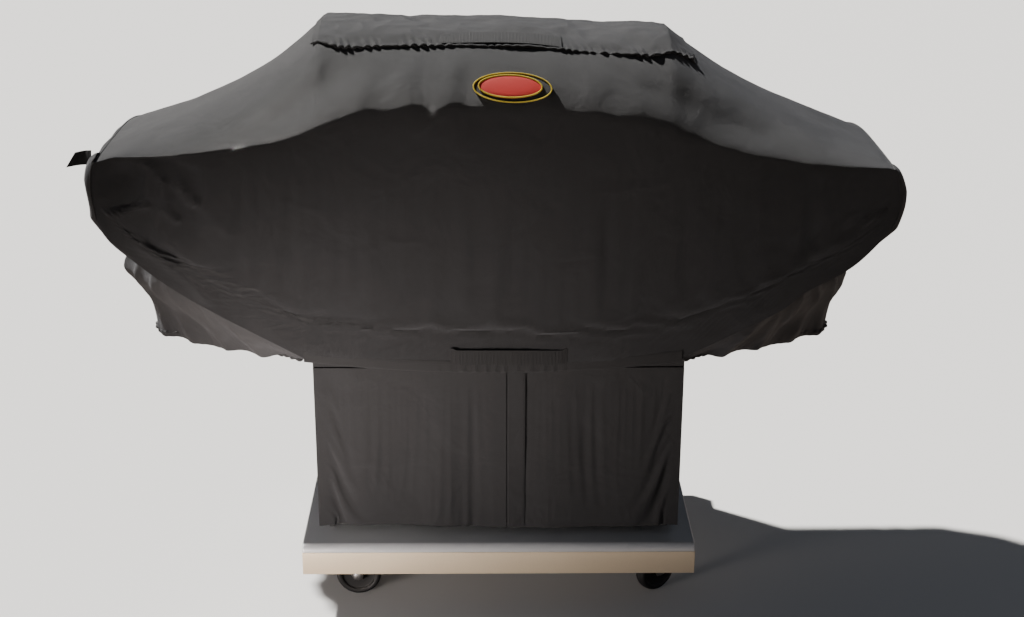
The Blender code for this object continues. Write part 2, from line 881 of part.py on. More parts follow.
def make_caster(place, at):
    """Plate under the deck, swivelling fork, wheel and axle bolt.
    The fork runs back along +X when unturned."""
    deck_under = base_top - base_sheet - fit_gap
    name = f"caster_{place}"
    plate = box(
        f"{name}_plate",
        (at[0] - plate_side / 2, at[1] - plate_side / 2, deck_under - plate_thickness),
        (at[0] + plate_side / 2, at[1] + plate_side / 2, deck_under),
        "zinc",
    )
    low, high = crown_height() + running_gap, deck_under - plate_thickness / 2
    stem = cutter(f"{name}_stem", stem_radius, high - low, (*at, (low + high) / 2), Matrix())
    cut(plate, stem, "UNION")
    heading = math.radians(wheel_headings[place])
    swivel = pivot(f"{name}_swivel", (*at, 0))
    swivel.rotation_euler = (0, 0, heading)
    fork = make_fork(f"{name}_fork", swivel)
    hub = pivot(f"{name}_hub", (caster_trail, 0, wheel_radius), swivel)
    make_wheel(f"{name}_wheel", hub)
    make_axle(f"{name}_axle", hub)
    turn = swivel_matrix(at, heading)
    bore = cutter(f"{name}_bore", axle_radius + fit_gap, 4 * wheel_width, (0, 0, 0), Matrix())
    across = Matrix.Rotation(math.pi / 2, 4, "X")
    bore.matrix_world = turn @ Matrix.Translation((caster_trail, 0, wheel_radius)) @ across
    cut(fork, bore)


def swivel_matrix(at, heading):
    return Matrix.Translation((*at, 0)) @ Matrix.Rotation(heading, 4, "Z")


def make_fork(name, swivel):
    """A strip folded into an upside-down U, its legs leaning back to the axle."""
    crown = crown_height() - fork_sheet - fork_bow
    half = fork_clearance()
    foot = wheel_radius - fork_foot / 2
    rows = []
    for side, ends in ((-1, ("foot", "crown")), (1, ("crown", "foot"))):
        for end in ends:
            if end == "foot":
                front, back, z = caster_trail - fork_foot / 2, caster_trail + fork_foot / 2, foot
            else:
                front, back, z = -fork_crown / 2, fork_crown / 2, crown
            rows.append([Vector((front, side * half, z)), Vector((back, side * half, z))])
    fork = sheet(name, rows, "zinc", (0, 0, 1), fork_sheet, outward=True)
    fork.parent = swivel
    return fork


def make_wheel(name, hub):
    edge = wheel_width / 2
    profile = [
        (wheel_bore, edge),
        (hub_radius, edge),
        (hub_radius + 0.002, edge - 0.004),
        (wheel_radius - 0.012, edge - 0.004),
        (wheel_radius - 0.009, edge - 0.001),
        (wheel_radius - 0.003, edge - 0.002),
        (wheel_radius, edge - 0.006),
        (wheel_radius, -edge + 0.006),
        (wheel_radius - 0.003, -edge + 0.002),
        (wheel_radius - 0.009, -edge + 0.001),
        (wheel_radius - 0.012, -edge + 0.004),
        (hub_radius + 0.002, -edge + 0.004),
        (hub_radius, -edge),
        (wheel_bore, -edge),
    ]
    made = turned(name, profile, "wheel_rubber", 28)
    made.parent = hub
    made.rotation_euler = (math.pi / 2, 0, 0)
    return made


def make_axle(name, hub):
    reach = fork_clearance() + fork_sheet + fit_gap
    tip = reach + axle_head
    profile = [
        (0, tip),
        (axle_head_radius, tip),
        (axle_head_radius, reach),
        (axle_radius, reach),
        (axle_radius, -reach),
        (axle_head_radius, -reach),
        (axle_head_radius, -tip),
        (0, -tip),
    ]
    made = turned(name, profile, "zinc", 14, closed=False)
    made.parent = hub
    made.rotation_euler = (math.pi / 2, 0, 0)
    return made


def make_casters():
    for place, x_sign, y in (
        ("fl", -1, caster_front_y),
        ("fr", 1, caster_front_y),
        ("rl", -1, caster_rear_y),
        ("rr", 1, caster_rear_y),
    ):
        make_caster(place, (x_sign * caster_x, y))


# ---------------------------------------------------------------- build

for old in list(bpy.data.objects):
    bpy.data.objects.remove(old, do_unlink=True)
parts = bpy.data.collections.new("grill_cover")
cutters = bpy.data.collections.new("cutters")
bpy.context.scene.collection.children.link(parts)
bpy.context.scene.collection.children.link(cutters)
materials = make_materials()

make_front_panel()
hood_hinge = pivot("hood_hinge", (0, hood_rear_y, top_at(0, hood_rear_y)))
hood = make_top_hood()
hood_elastic = make_hood_elastic()
top_strap = make_top_strap()
for piece in (hood, hood_elastic, top_strap):
    hang_on(piece, hood_hinge)
for side, sign in (("left", -1), ("right", 1)):
    make_shoulder(side, sign)
    make_side_panel(side, sign)
    make_side_elastic(side, sign)
make_rear_panel()
make_hem_binding()
make_hem_strap()
make_tab("left", -1, tab_left)
make_tab("right", 1, tab_right)
make_badge()
make_skirt()
make_base()
make_cabinet()
make_firebox()
make_lid()
make_shelves()
make_casters()
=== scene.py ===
import json
import math

import bmesh
import bpy
from mathutils import Matrix, Vector, noise

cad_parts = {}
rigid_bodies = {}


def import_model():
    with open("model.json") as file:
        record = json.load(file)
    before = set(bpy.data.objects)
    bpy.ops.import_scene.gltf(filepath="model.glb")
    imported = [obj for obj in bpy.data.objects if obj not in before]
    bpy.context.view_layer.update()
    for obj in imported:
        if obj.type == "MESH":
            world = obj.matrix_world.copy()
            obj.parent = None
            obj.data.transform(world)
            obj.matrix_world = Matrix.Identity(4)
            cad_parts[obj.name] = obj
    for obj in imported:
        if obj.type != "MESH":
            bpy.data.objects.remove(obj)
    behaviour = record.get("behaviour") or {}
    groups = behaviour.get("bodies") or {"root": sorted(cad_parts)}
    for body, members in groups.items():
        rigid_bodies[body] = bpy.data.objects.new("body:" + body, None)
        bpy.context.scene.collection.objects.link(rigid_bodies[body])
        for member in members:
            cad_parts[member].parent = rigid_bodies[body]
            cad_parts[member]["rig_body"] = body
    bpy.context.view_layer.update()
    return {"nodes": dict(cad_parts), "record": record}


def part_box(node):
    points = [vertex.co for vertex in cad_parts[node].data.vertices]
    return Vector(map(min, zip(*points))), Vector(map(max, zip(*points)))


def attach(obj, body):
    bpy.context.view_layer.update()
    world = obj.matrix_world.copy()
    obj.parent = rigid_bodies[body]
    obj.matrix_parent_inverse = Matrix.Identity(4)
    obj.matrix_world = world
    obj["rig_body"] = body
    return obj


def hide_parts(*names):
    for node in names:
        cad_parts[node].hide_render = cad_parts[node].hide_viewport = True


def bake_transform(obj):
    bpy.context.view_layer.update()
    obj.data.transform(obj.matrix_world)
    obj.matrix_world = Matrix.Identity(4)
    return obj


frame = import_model()
print("frame loaded")

# the whole cover sits a little to the left on the cart and leans down to the right
lean = {
    "shift": -0.007, "turn": 0.015, "pivotHeight": 0.80, "levelBelow": 0.45, "fullAbove": 0.80,
    "swellFrom": 0.45, "swellOver": 0.20, "swellBehind": 0.02,
}


# ---- shaping helpers ----

def clamp(value, low=0.0, high=1.0):
    return min(max(value, low), high)


def smooth(value):
    value = clamp(value)
    return value * value * (3 - 2 * value)


def mix(a, b, share):
    return a + (b - a) * share


# where the cloth hangs further out or in than the even shape; "behind" keeps it off the front
swells = [
    {"side": -1, "z": 0.615, "spread": 0.050, "out": 0.028, "behind": 0.05},
    {"side": -1, "z": 0.765, "spread": 0.035, "out": 0.012, "behind": 0.0},
    {"side": 1, "z": 0.675, "spread": 0.034, "out": -0.026, "behind": 0.0},
    {"side": 1, "z": 0.580, "spread": 0.030, "out": 0.010, "behind": 0.05},
    {"side": 1, "z": 0.840, "spread": 0.050, "out": 0.009, "behind": 0.0},
]


def swollen(x, y, z):
    out = 0.0
    for swell in swells:
        if swell["side"] * x > lean["swellFrom"]:
            back = y - cs["front"] - lean["swellBehind"]
            depth = smooth(back / swell["behind"]) if swell["behind"] else 1.0
            near = math.exp(-(((z - swell["z"]) / swell["spread"]) ** 2))
            toEnd = smooth((abs(x) - lean["swellFrom"]) / lean["swellOver"])
            out += swell["side"] * swell["out"] * near * depth * toEnd
    return x + out


def leant(x, y, z):
    # a point of the even cover, moved to where it is on the leaning one
    share = smooth((z - lean["levelBelow"]) / (lean["fullAbove"] - lean["levelBelow"]))
    x = swollen(x, y, z)
    across = x + lean["shift"] + (z - lean["pivotHeight"]) * lean["turn"]
    return Vector((across, y, z - x * lean["turn"] * share))


def deselectAll():
    if bpy.context.mode != "OBJECT":
        bpy.ops.object.mode_set(mode="OBJECT")
    bpy.ops.object.select_all(action="DESELECT")


def pick(piece):
    deselectAll()
    piece.select_set(True)
    bpy.context.view_layer.objects.active = piece


def addObject(name, data):
    made = bpy.data.objects.new(name, data)
    bpy.context.scene.collection.objects.link(made)
    return made


def addMesh(name, work):
    mesh = bpy.data.meshes.new(name)
    work.to_mesh(mesh)
    work.free()
    return addObject(name, mesh)


def clothGrid(name, across, along, size, place):
    # a flat grid, then every point is laid where the cut piece hangs; UVs are in metres of cloth
    deselectAll()
    bpy.ops.mesh.primitive_grid_add(x_subdivisions=across, y_subdivisions=along, size=1)
    piece = bpy.context.object
    piece.name = name
    for corner in piece.data.uv_layers.active.data:
        corner.uv = (corner.uv[0] * size[0], corner.uv[1] * size[1])
    for vertex in piece.data.vertices:
        vertex.co = place(vertex.co.x + 0.5, vertex.co.y + 0.5)
    return piece


def addModifier(piece, kind, **settings):
    made = piece.modifiers.new(kind.lower(), kind)
    for key, value in settings.items():
        setattr(made, key, value)
    return made


def applyModifiers(piece):
    pick(piece)
    for name in [m.name for m in piece.modifiers]:
        bpy.ops.object.modifier_apply(modifier=name)


def shadeSmooth(piece, degrees=40):
    pick(piece)
    bpy.ops.object.shade_smooth_by_angle(angle=math.radians(degrees))


def thickSheet(piece, thickness, levels=0):
    if levels:
        addModifier(piece, "SUBSURF", levels=levels, render_levels=levels)
    addModifier(piece, "SOLIDIFY", thickness=thickness, offset=-1.0)
    applyModifiers(piece)
    shadeSmooth(piece, 60)


def tubeAlong(name, points, radius, sides=8, cyclic=False):
    # a round cord through the points, made a mesh; radius is a number or one number a point
    curve = bpy.data.curves.new(name, "CURVE")
    curve.dimensions = "3D"
    curve.bevel_depth = 1.0
    curve.bevel_resolution = max(sides // 4 - 1, 0)
    curve.use_fill_caps = not cyclic
    spline = curve.splines.new("POLY")
    spline.points.add(len(points) - 1)
    for index, point in enumerate(points):
        spline.points[index].co = (*point, 1)
        spline.points[index].radius = radius[index] if isinstance(radius, list) else radius
    spline.use_cyclic_u = cyclic
    pick(addObject(name, curve))
    bpy.ops.object.convert(target="MESH")
    made = bpy.context.object
    mergeDoubles(made, 0.00001)
    shadeSmooth(made, 50)
    return made


def mergeDoubles(piece, distance):
    pick(piece)
    bpy.ops.object.mode_set(mode="EDIT")
    bpy.ops.mesh.select_all(action="SELECT")
    bpy.ops.mesh.remove_doubles(threshold=distance)
    bpy.ops.mesh.normals_make_consistent(inside=False)
    bpy.ops.object.mode_set(mode="OBJECT")


def finishPiece(piece, material, body, nodes=()):
    piece.data.materials.clear()
    piece.data.materials.append(material)
    if body:
        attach(piece, body)
    if nodes:
        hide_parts(*nodes)
    return piece


# ---- shader groups ----

def newGroup(name, inputs, outputs):
    group = bpy.data.node_groups.new(name, "ShaderNodeTree")
    for label, kind, value in inputs:
        socket = group.interface.new_socket(name=label, in_out="INPUT", socket_type=kind)
        if value is not None:
            socket.default_value = value
    for label, kind in outputs:
        group.interface.new_socket(name=label, in_out="OUTPUT", socket_type=kind)
    start = group.nodes.new("NodeGroupInput")
    end = group.nodes.new("NodeGroupOutput")
    return group, start, end


def addNode(tree, kind, **settings):
    node = tree.nodes.new(kind)
    for key, value in settings.items():
        if key == "inputs":
            for label, given in value.items():
                if isinstance(given, bpy.types.NodeSocket):
                    tree.links.new(given, node.inputs[label])
                else:
                    node.inputs[label].default_value = given
        else:
            setattr(node, key, value)
    return node


def mathNode(tree, operation, a, b=0.0, clampIt=False):
    node = addNode(tree, "ShaderNodeMath", operation=operation, use_clamp=clampIt, inputs={0: a, 1: b})
    return node.outputs[0]


def makeWeaveGroup():
    # over-and-under threads of a plain weave, from cloth coordinates in metres
    group, start, end = newGroup(
        "plainWeave",
        [("Cloth", "NodeSocketVector", None), ("Pitch", "NodeSocketFloat", 0.0012),
         ("Rib", "NodeSocketFloat", 0.0)],
        [("Height", "NodeSocketFloat"), ("Thread", "NodeSocketFloat")],
    )
    split = addNode(group, "ShaderNodeSeparateXYZ", inputs={0: start.outputs["Cloth"]})
    turns = mathNode(group, "DIVIDE", 2 * math.pi, start.outputs["Pitch"])
    warp = mathNode(group, "SINE", mathNode(group, "MULTIPLY", split.outputs[0], turns))
    weft = mathNode(group, "SINE", mathNode(group, "MULTIPLY", split.outputs[1], turns))
    crossed = mathNode(group, "MULTIPLY", warp, weft)
    ribbed = mathNode(group, "MULTIPLY", warp, start.outputs["Rib"])
    height = mathNode(group, "ADD", crossed, ribbed)
    grain = addNode(group, "ShaderNodeTexNoise", inputs={
        "Vector": start.outputs["Cloth"], "Scale": 900.0, "Detail": 1.0})
    thread = mathNode(group, "MULTIPLY_ADD", height, 0.25)
    thread.node.inputs[2].default_value = 0.5
    uneven = mathNode(group, "MULTIPLY", thread, grain.outputs["Fac"])
    group.links.new(mathNode(group, "ADD", thread, uneven), end.inputs["Height"])
    group.links.new(thread, end.inputs["Thread"])
    return group


def makeToneGroup():
    # slow and fine unevenness of a dyed or painted surface, with dust that gathers on faces looking up
    group, start, end = newGroup(
        "toneAndDust",
        [
            ("Color", "NodeSocketColor", (0.5, 0.5, 0.5, 1)),
            ("Dust Color", "NodeSocketColor", (0.3, 0.28, 0.25, 1)),
            ("Dust", "NodeSocketFloat", 0.1),
            ("Slow Scale", "NodeSocketFloat", 6.0),
            ("Fine Scale", "NodeSocketFloat", 120.0),
            ("Variation", "NodeSocketFloat", 0.2),
            ("Roughness", "NodeSocketFloat", 0.5),
            ("Roughness Change", "NodeSocketFloat", 0.1),
        ],
        [("Color", "NodeSocketColor"), ("Roughness", "NodeSocketFloat"), ("Height", "NodeSocketFloat")],
    )
    place = addNode(group, "ShaderNodeTexCoord").outputs["Object"]
    slow = addNode(group, "ShaderNodeTexNoise", inputs={
        "Vector": place, "Scale": start.outputs["Slow Scale"], "Detail": 4.0, "Roughness": 0.6})
    fine = addNode(group, "ShaderNodeTexNoise", inputs={
        "Vector": place, "Scale": start.outputs["Fine Scale"], "Detail": 3.0, "Roughness": 0.65})
    both = mathNode(group, "ADD", slow.outputs["Fac"], fine.outputs["Fac"])
    centred = mathNode(group, "SUBTRACT", both, 1.0)
    change = mathNode(group, "MULTIPLY", centred, start.outputs["Variation"])
    bright = mathNode(group, "ADD", change, 1.0)
    tone = addNode(group, "ShaderNodeVectorMath", operation="SCALE", inputs={
        0: start.outputs["Color"], "Scale": bright})
    facing = addNode(group, "ShaderNodeSeparateXYZ", inputs={
        0: addNode(group, "ShaderNodeNewGeometry").outputs["Normal"]})
    upward = mathNode(group, "MAXIMUM", facing.outputs[2], 0.0)
    dusty = mathNode(group, "MULTIPLY", mathNode(group, "MULTIPLY", upward, slow.outputs["Fac"]),
                     start.outputs["Dust"], clampIt=True)
    laid = addNode(group, "ShaderNodeMix", data_type="RGBA")
    group.links.new(dusty, laid.inputs[0])
    group.links.new(tone.outputs[0], laid.inputs[6])
    group.links.new(start.outputs["Dust Color"], laid.inputs[7])
    group.links.new(laid.outputs[2], end.inputs["Color"])
    rough = mathNode(group, "MULTIPLY", centred, start.outputs["Roughness Change"])
    rough = mathNode(group, "ADD", rough, start.outputs["Roughness"], clampIt=True)
    group.links.new(rough, end.inputs["Roughness"])
    group.links.new(both, end.inputs["Height"])
    return group


weaveGroup = makeWeaveGroup()
toneGroup = makeToneGroup()


def startMaterial(name):
    material = bpy.data.materials.new(name)
    material.use_nodes = True
    tree = material.node_tree
    return material, tree, tree.nodes["Principled BSDF"]


def useGroup(tree, group, **values):
    node = tree.nodes.new("ShaderNodeGroup")
    node.node_tree = group
    for label, given in values.items():
        socket = node.inputs[label.replace("_", " ")]
        if isinstance(given, bpy.types.NodeSocket):
            tree.links.new(given, socket)
        else:
            socket.default_value = given
    return node


def useTone(tree, shader, look):
    tone = useGroup(
        tree, toneGroup,
        Color=(*look["color"], 1), Dust_Color=(*look["dustColor"], 1), Dust=look["dust"],
        Slow_Scale=look["slowScale"], Fine_Scale=look["fineScale"], Variation=look["variation"],
        Roughness=look["roughness"], Roughness_Change=look["roughnessChange"],
    )
    tree.links.new(tone.outputs["Roughness"], shader.inputs["Roughness"])
    return tone


def clothMaterial(name, look):
    material, tree, shader = startMaterial(name)
    cloth = addNode(tree, "ShaderNodeTexCoord").outputs["UV"]
    weave = useGroup(tree, weaveGroup, Cloth=cloth, Pitch=look["pitch"], Rib=look["rib"])
    tone = useTone(tree, shader, look)
    threadShade = mathNode(tree, "MULTIPLY_ADD", weave.outputs["Thread"], look["threadShade"])
    threadShade.node.inputs[2].default_value = 1 - look["threadShade"] / 2
    shaded = addNode(tree, "ShaderNodeVectorMath", operation="SCALE", inputs={
        0: tone.outputs["Color"], "Scale": threadShade})
    tree.links.new(shaded.outputs[0], shader.inputs["Base Color"])
    soft = addNode(tree, "ShaderNodeTexNoise", inputs={
        "Vector": addNode(tree, "ShaderNodeTexCoord").outputs["Object"],
        "Scale": look["crumpleScale"], "Detail": 3.0, "Roughness": 0.5, "Distortion": 0.6})
    crumple = addNode(tree, "ShaderNodeBump", inputs={
        "Strength": look["crumple"], "Distance": 0.02, "Height": soft.outputs["Fac"]})
    threads = addNode(tree, "ShaderNodeBump", inputs={
        "Strength": look["relief"], "Distance": look["pitch"] * 0.4,
        "Height": weave.outputs["Height"], "Normal": crumple.outputs["Normal"]})
    tree.links.new(threads.outputs["Normal"], shader.inputs["Normal"])
    shader.inputs["Sheen Weight"].default_value = look["sheen"]
    shader.inputs["Sheen Roughness"].default_value = look["sheenRoughness"]
    shader.inputs["Sheen Tint"].default_value = (*look["sheenTint"], 1)
    shader.inputs["Specular IOR Level"].default_value = look["specular"]
    return material


def hardMaterial(name, look):
    material, tree, shader = startMaterial(name)
    tone = useTone(tree, shader, look)
    tree.links.new(tone.outputs["Color"], shader.inputs["Base Color"])
    bump = addNode(tree, "ShaderNodeBump", inputs={
        "Strength": look["relief"], "Distance": 0.0006, "Height": tone.outputs["Height"]})
    tree.links.new(bump.outputs["Normal"], shader.inputs["Normal"])
    shader.inputs["Metallic"].default_value = look["metallic"]
    shader.inputs["Specular IOR Level"].default_value = look["specular"]
    shader.inputs["Coat Weight"].default_value = look["coat"]
    shader.inputs["Coat Roughness"].default_value = 0.15
    return material


clothLook = {
    "color": (0.0120, 0.0120, 0.0134), "dustColor": (0.13, 0.13, 0.13), "dust": 0.24,
    "slowScale": 5.0, "fineScale": 210.0, "variation": 0.95,
    "roughness": 0.56, "roughnessChange": 0.24, "pitch": 0.0023, "rib": 0.0,
    "threadShade": 0.8, "crumpleScale": 11.0, "crumple": 0.30, "relief": 1.0,
    "sheen": 0.16, "sheenRoughness": 0.45, "sheenTint": (0.82, 0.86, 0.95), "specular": 0.42,
}
webbingLook = dict(clothLook, color=(0.0085, 0.0085, 0.0095), pitch=0.0016, rib=1.2, relief=0.8,
                   crumple=0.03, roughness=0.62, sheen=0.10, dust=0.08)
bindingLook = dict(clothLook, color=(0.0095, 0.0095, 0.0105), pitch=0.0010, crumple=0.08,
                   roughness=0.6)
threadLook = dict(clothLook, color=(0.018, 0.018, 0.020), pitch=0.0006, crumple=0.0, relief=0.3)
badgeRedLook = dict(clothLook, color=(0.66, 0.022, 0.016), dustColor=(0.6, 0.2, 0.16), dust=0.05,
                    pitch=0.0010, crumple=0.0, relief=0.7, variation=0.16, roughness=0.5,
                    sheen=0.05, sheenTint=(1.0, 0.6, 0.5), specular=0.4)
badgeYellowLook = dict(badgeRedLook, color=(0.72, 0.55, 0.035), dustColor=(0.7, 0.65, 0.3),
                       sheenTint=(1.0, 0.95, 0.6), rib=1.0)
hardBase = {
    "dustColor": (0.35, 0.33, 0.30), "dust": 0.08, "slowScale": 7.0, "fineScale": 320.0,
    "variation": 0.10, "roughnessChange": 0.12, "relief": 0.15, "specular": 0.5, "coat": 0.0,
}
hardLooks = {
    "base_metal": dict(hardBase, color=(0.66, 0.68, 0.70), roughness=0.34, metallic=0.35),
    # painted reflection: the fascia's tan colour stands for warm ground reflected in metal that is itself
    # silver like the deck
    "fascia_metal": dict(hardBase, color=(0.90, 0.76, 0.56), roughness=0.42, metallic=0.20, relief=0.2),
    "cabinet_paint": dict(hardBase, color=(0.045, 0.046, 0.048), roughness=0.45, metallic=0.0, relief=0.5),
    "lid_enamel": dict(hardBase, color=(0.028, 0.028, 0.030), roughness=0.26, metallic=0.0, coat=0.4),
    "steel": dict(hardBase, color=(0.58, 0.58, 0.57), roughness=0.30, metallic=1.0),
    "zinc": dict(hardBase, color=(0.60, 0.61, 0.63), roughness=0.36, metallic=1.0, relief=0.3),
    "wheel_rubber": dict(hardBase, color=(0.018, 0.018, 0.019), roughness=0.62, metallic=0.0, dust=0.25),
}
finishes = {
    "cover_fabric": clothMaterial("coverFabric", clothLook),
    "webbing": clothMaterial("webbing", webbingLook),
    "elastic": clothMaterial("elasticHem", bindingLook),
    "thread": clothMaterial("sewingThread", threadLook),
    "badge_red": clothMaterial("badgeRed", badgeRedLook),
    "badge_yellow": clothMaterial("badgeYellow", badgeYellowLook),
}
for slotName, look in hardLooks.items():
    finishes[slotName] = hardMaterial(slotName.replace("_", " ").title().replace(" ", ""), look)
print("materials made")

# ---- the cover's shape: the CAD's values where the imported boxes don't hold them ----

cs = {
    "halfWidth": 0.736, "front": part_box("front_panel")[0].y, "rear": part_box("rear_panel")[1].y,
    "crestHeight": 1.127, "lidCrestHalf": 0.322, "rightCrestCut": 0.008, "rightCrestDrop": 0.008,
    "rightShoulderRise": 0.012, "leftWingDrop": 0.007, "crestY": -0.060,
    "frontRollDepth": 0.225, "frontRollFall": 2.6, "frontRollRound": 1.35,
    "shoulderBend": (0.462, 0.994), "wingTopHalf": 0.710, "wingTopHeight": 0.919,
    "ridgeMiddleHeight": 1.012, "ridgeWingHeight": 0.917, "ridgeSpread": 0.380,
    "lidRearDrop": 0.170, "wingRearDrop": 0.075,
    "hoodFrontY": -0.187, "hoodRearY": 0.160, "hoodFrontHalf": 0.350, "hoodRearHalf": 0.328,
    "hoodCornerBack": 0.030, "hoodCornerX": 0.27, "hoodCornerOver": 0.09,
    "seamInset": 0.016, "wingRollFrom": 0.55, "ridgeUnderCrest": 0.004,
    "hemMiddle": 0.515, "hemCorner": (0.350, 0.537), "hemBelly": 0.25,
    "frontCornerHeight": 0.802, "rearCornerHeight": 0.780,
    "sideHemHeight": 0.495, "sideHemMiddle": (0.675, 0.010), "sideHemRoundness": 0.30,
    "rearHemHalf": 0.640, "rearHemHeight": 0.500, "lowerRound": 0.010, "cloth": 0.003,
}


def crestAt(x):
    # the highest line: level over the lid, then a concave shoulder down to the wing
    reach = abs(x)
    x0, (x1, z1), x2 = cs["lidCrestHalf"], cs["shoulderBend"], cs["wingTopHalf"]
    wing = cs["wingTopHeight"]
    crest = cs["crestHeight"] - cs["rightCrestDrop"] * smooth((x - 0.05) / 0.12)
    if x > 0:
        x0 -= cs["rightCrestCut"]
        z1 += cs["rightShoulderRise"]
    else:
        wing -= cs["leftWingDrop"]
        z1 -= cs["leftWingDrop"]
    if reach <= x0:
        return crest
    a, b, c = x0 - 2 * x1 + x2, 2 * (x1 - x0), x0 - min(reach, x2)
    t = (-b + math.sqrt(b * b - 4 * a * c)) / (2 * a)
    return crest * (1 - t) ** 2 + 2 * z1 * t * (1 - t) + wing * t * t


def ridgeAt(x):
    # the line where the upright front starts to roll back
    rise = cs["ridgeMiddleHeight"] - cs["ridgeWingHeight"]
    wanted = cs["ridgeWingHeight"] + rise * math.exp(-((abs(x) / cs["ridgeSpread"]) ** 2.5))
    return min(wanted, crestAt(x) - cs["ridgeUnderCrest"])


def topAt(x, y):
    crest = crestAt(x)
    if y >= cs["crestY"]:
        toWing = clamp((abs(x) - cs["lidCrestHalf"]) / (cs["wingTopHalf"] - cs["lidCrestHalf"]))
        drop = mix(cs["lidRearDrop"], cs["wingRearDrop"], toWing)
        return crest - drop * ((y - cs["crestY"]) / (cs["rear"] - cs["crestY"])) ** 2
    s = clamp((y - cs["front"]) / cs["frontRollDepth"])
    ridge = ridgeAt(x)
    return ridge + (crest - ridge) * (1 - (1 - s) ** cs["frontRollFall"]) ** (1 / cs["frontRollRound"])


def frontHemAt(x):
    cornerX, cornerZ = cs["hemCorner"]
    reach = abs(x)
    if reach <= cornerX:
        return cs["hemMiddle"] + (cornerZ - cs["hemMiddle"]) * (reach / cornerX) ** 2
    share = (reach - cornerX) / (cs["halfWidth"] - cornerX)
    share = (1 - cs["hemBelly"]) * share + cs["hemBelly"] * share**6
    return cornerZ + (cs["frontCornerHeight"] - cornerZ) * share


def wingRoll(share):
    bend = clamp((share - cs["wingRollFrom"]) / (1 - cs["wingRollFrom"]))
    return 1 - math.sqrt(1 - bend * bend)


def hoodHalfAt(y):
    share = (y - cs["hoodFrontY"]) / (cs["hoodRearY"] - cs["hoodFrontY"])
    return cs["hoodFrontHalf"] + (cs["hoodRearHalf"] - cs["hoodFrontHalf"]) * share


def endHalf(v):
    # where the front's end seam runs, a little in from the wing's widest point
    seam = cs["halfWidth"] - cs["seamInset"]
    low = cs["lowerRound"] * max(1 - v / 0.5, 0) ** 2
    return seam - (seam - cs["wingTopHalf"]) * wingRoll(v) - low


def hoodFrontAt(x):
    # the hood's front edge runs back towards its corners
    corner = smooth((abs(x) - cs["hoodCornerX"]) / cs["hoodCornerOver"])
    return cs["hoodFrontY"] + cs["hoodCornerBack"] * corner


# soft hollows and drapes of the front: middle (x, z), half widths, turn in degrees, depth inwards
hollows = [
    ((-0.313, 1.050), (0.088, 0.030), 41, 0.024),
    ((-0.405, 0.985), (0.060, 0.026), 25, 0.010),
    ((0.215, 1.075), (0.080, 0.013), -25, 0.007),
    ((0.330, 1.040), (0.050, 0.030), -40, 0.012),
    ((0.455, 0.985), (0.110, 0.030), -16, 0.014),
    ((-0.060, 1.075), (0.018, 0.050), 12, 0.006),
    ((-0.135, 1.085), (0.014, 0.045), 8, 0.006),
    ((0.300, 1.095), (0.016, 0.040), 20, 0.006),
    ((-0.655, 0.872), (0.048, 0.036), 4, 0.020),
    ((-0.575, 0.905), (0.050, 0.016), -28, 0.007),
    ((-0.540, 0.795), (0.020, 0.050), 40, 0.006),
    ((0.600, 0.800), (0.080, 0.022), 42, 0.008),
]
# crisp creases: start and end (x, z), half width, height out of the cloth
creases = [
    ((-0.703, 0.812), (-0.612, 0.836), 0.0045, 0.011),
    ((-0.628, 0.914), (-0.588, 0.870), 0.0050, 0.008),
    ((-0.590, 0.882), (-0.589, 0.835), 0.0060, 0.007),
    ((-0.570, 0.880), (-0.532, 0.828), 0.0070, 0.010),
    ((-0.600, 0.832), (-0.560, 0.800), 0.0060, 0.008),
    ((-0.617, 0.812), (-0.520, 0.715), 0.0090, 0.006),
    ((-0.545, 0.850), (-0.463, 0.770), 0.0090, 0.006),
    ((-0.650, 0.780), (-0.500, 0.640), 0.0120, 0.006),
    ((-0.090, 1.020), (-0.150, 0.960), 0.0080, 0.004),
    ((0.412, 1.050), (0.573, 0.961), 0.0080, 0.010),
    ((0.650, 0.849), (0.560, 0.745), 0.0100, 0.008),
    ((0.687, 0.842), (0.655, 0.815), 0.0060, 0.006),
    ((0.640, 0.800), (0.480, 0.690), 0.0120, 0.007),
    ((0.340, 0.860), (0.420, 0.780), 0.0080, 0.003),
    ((0.150, 0.760), (0.250, 0.735), 0.0080, 0.003),
]


def segmentFade(x, z, start, end, width):
    (x0, z0), (x1, z1) = start, end
    dx, dz = x1 - x0, z1 - z0
    length2 = dx * dx + dz * dz
    along = ((x - x0) * dx + (z - z0) * dz) / length2
    off = math.hypot(x - x0 - clamp(along) * dx, z - z0 - clamp(along) * dz)
    ends = smooth(0.5 + 0.5 * math.cos(math.pi * clamp(abs(along - 0.5) * 2 - 0.6, 0, 0.4) / 0.4))
    return math.exp(-((off / width) ** 2)) * ends


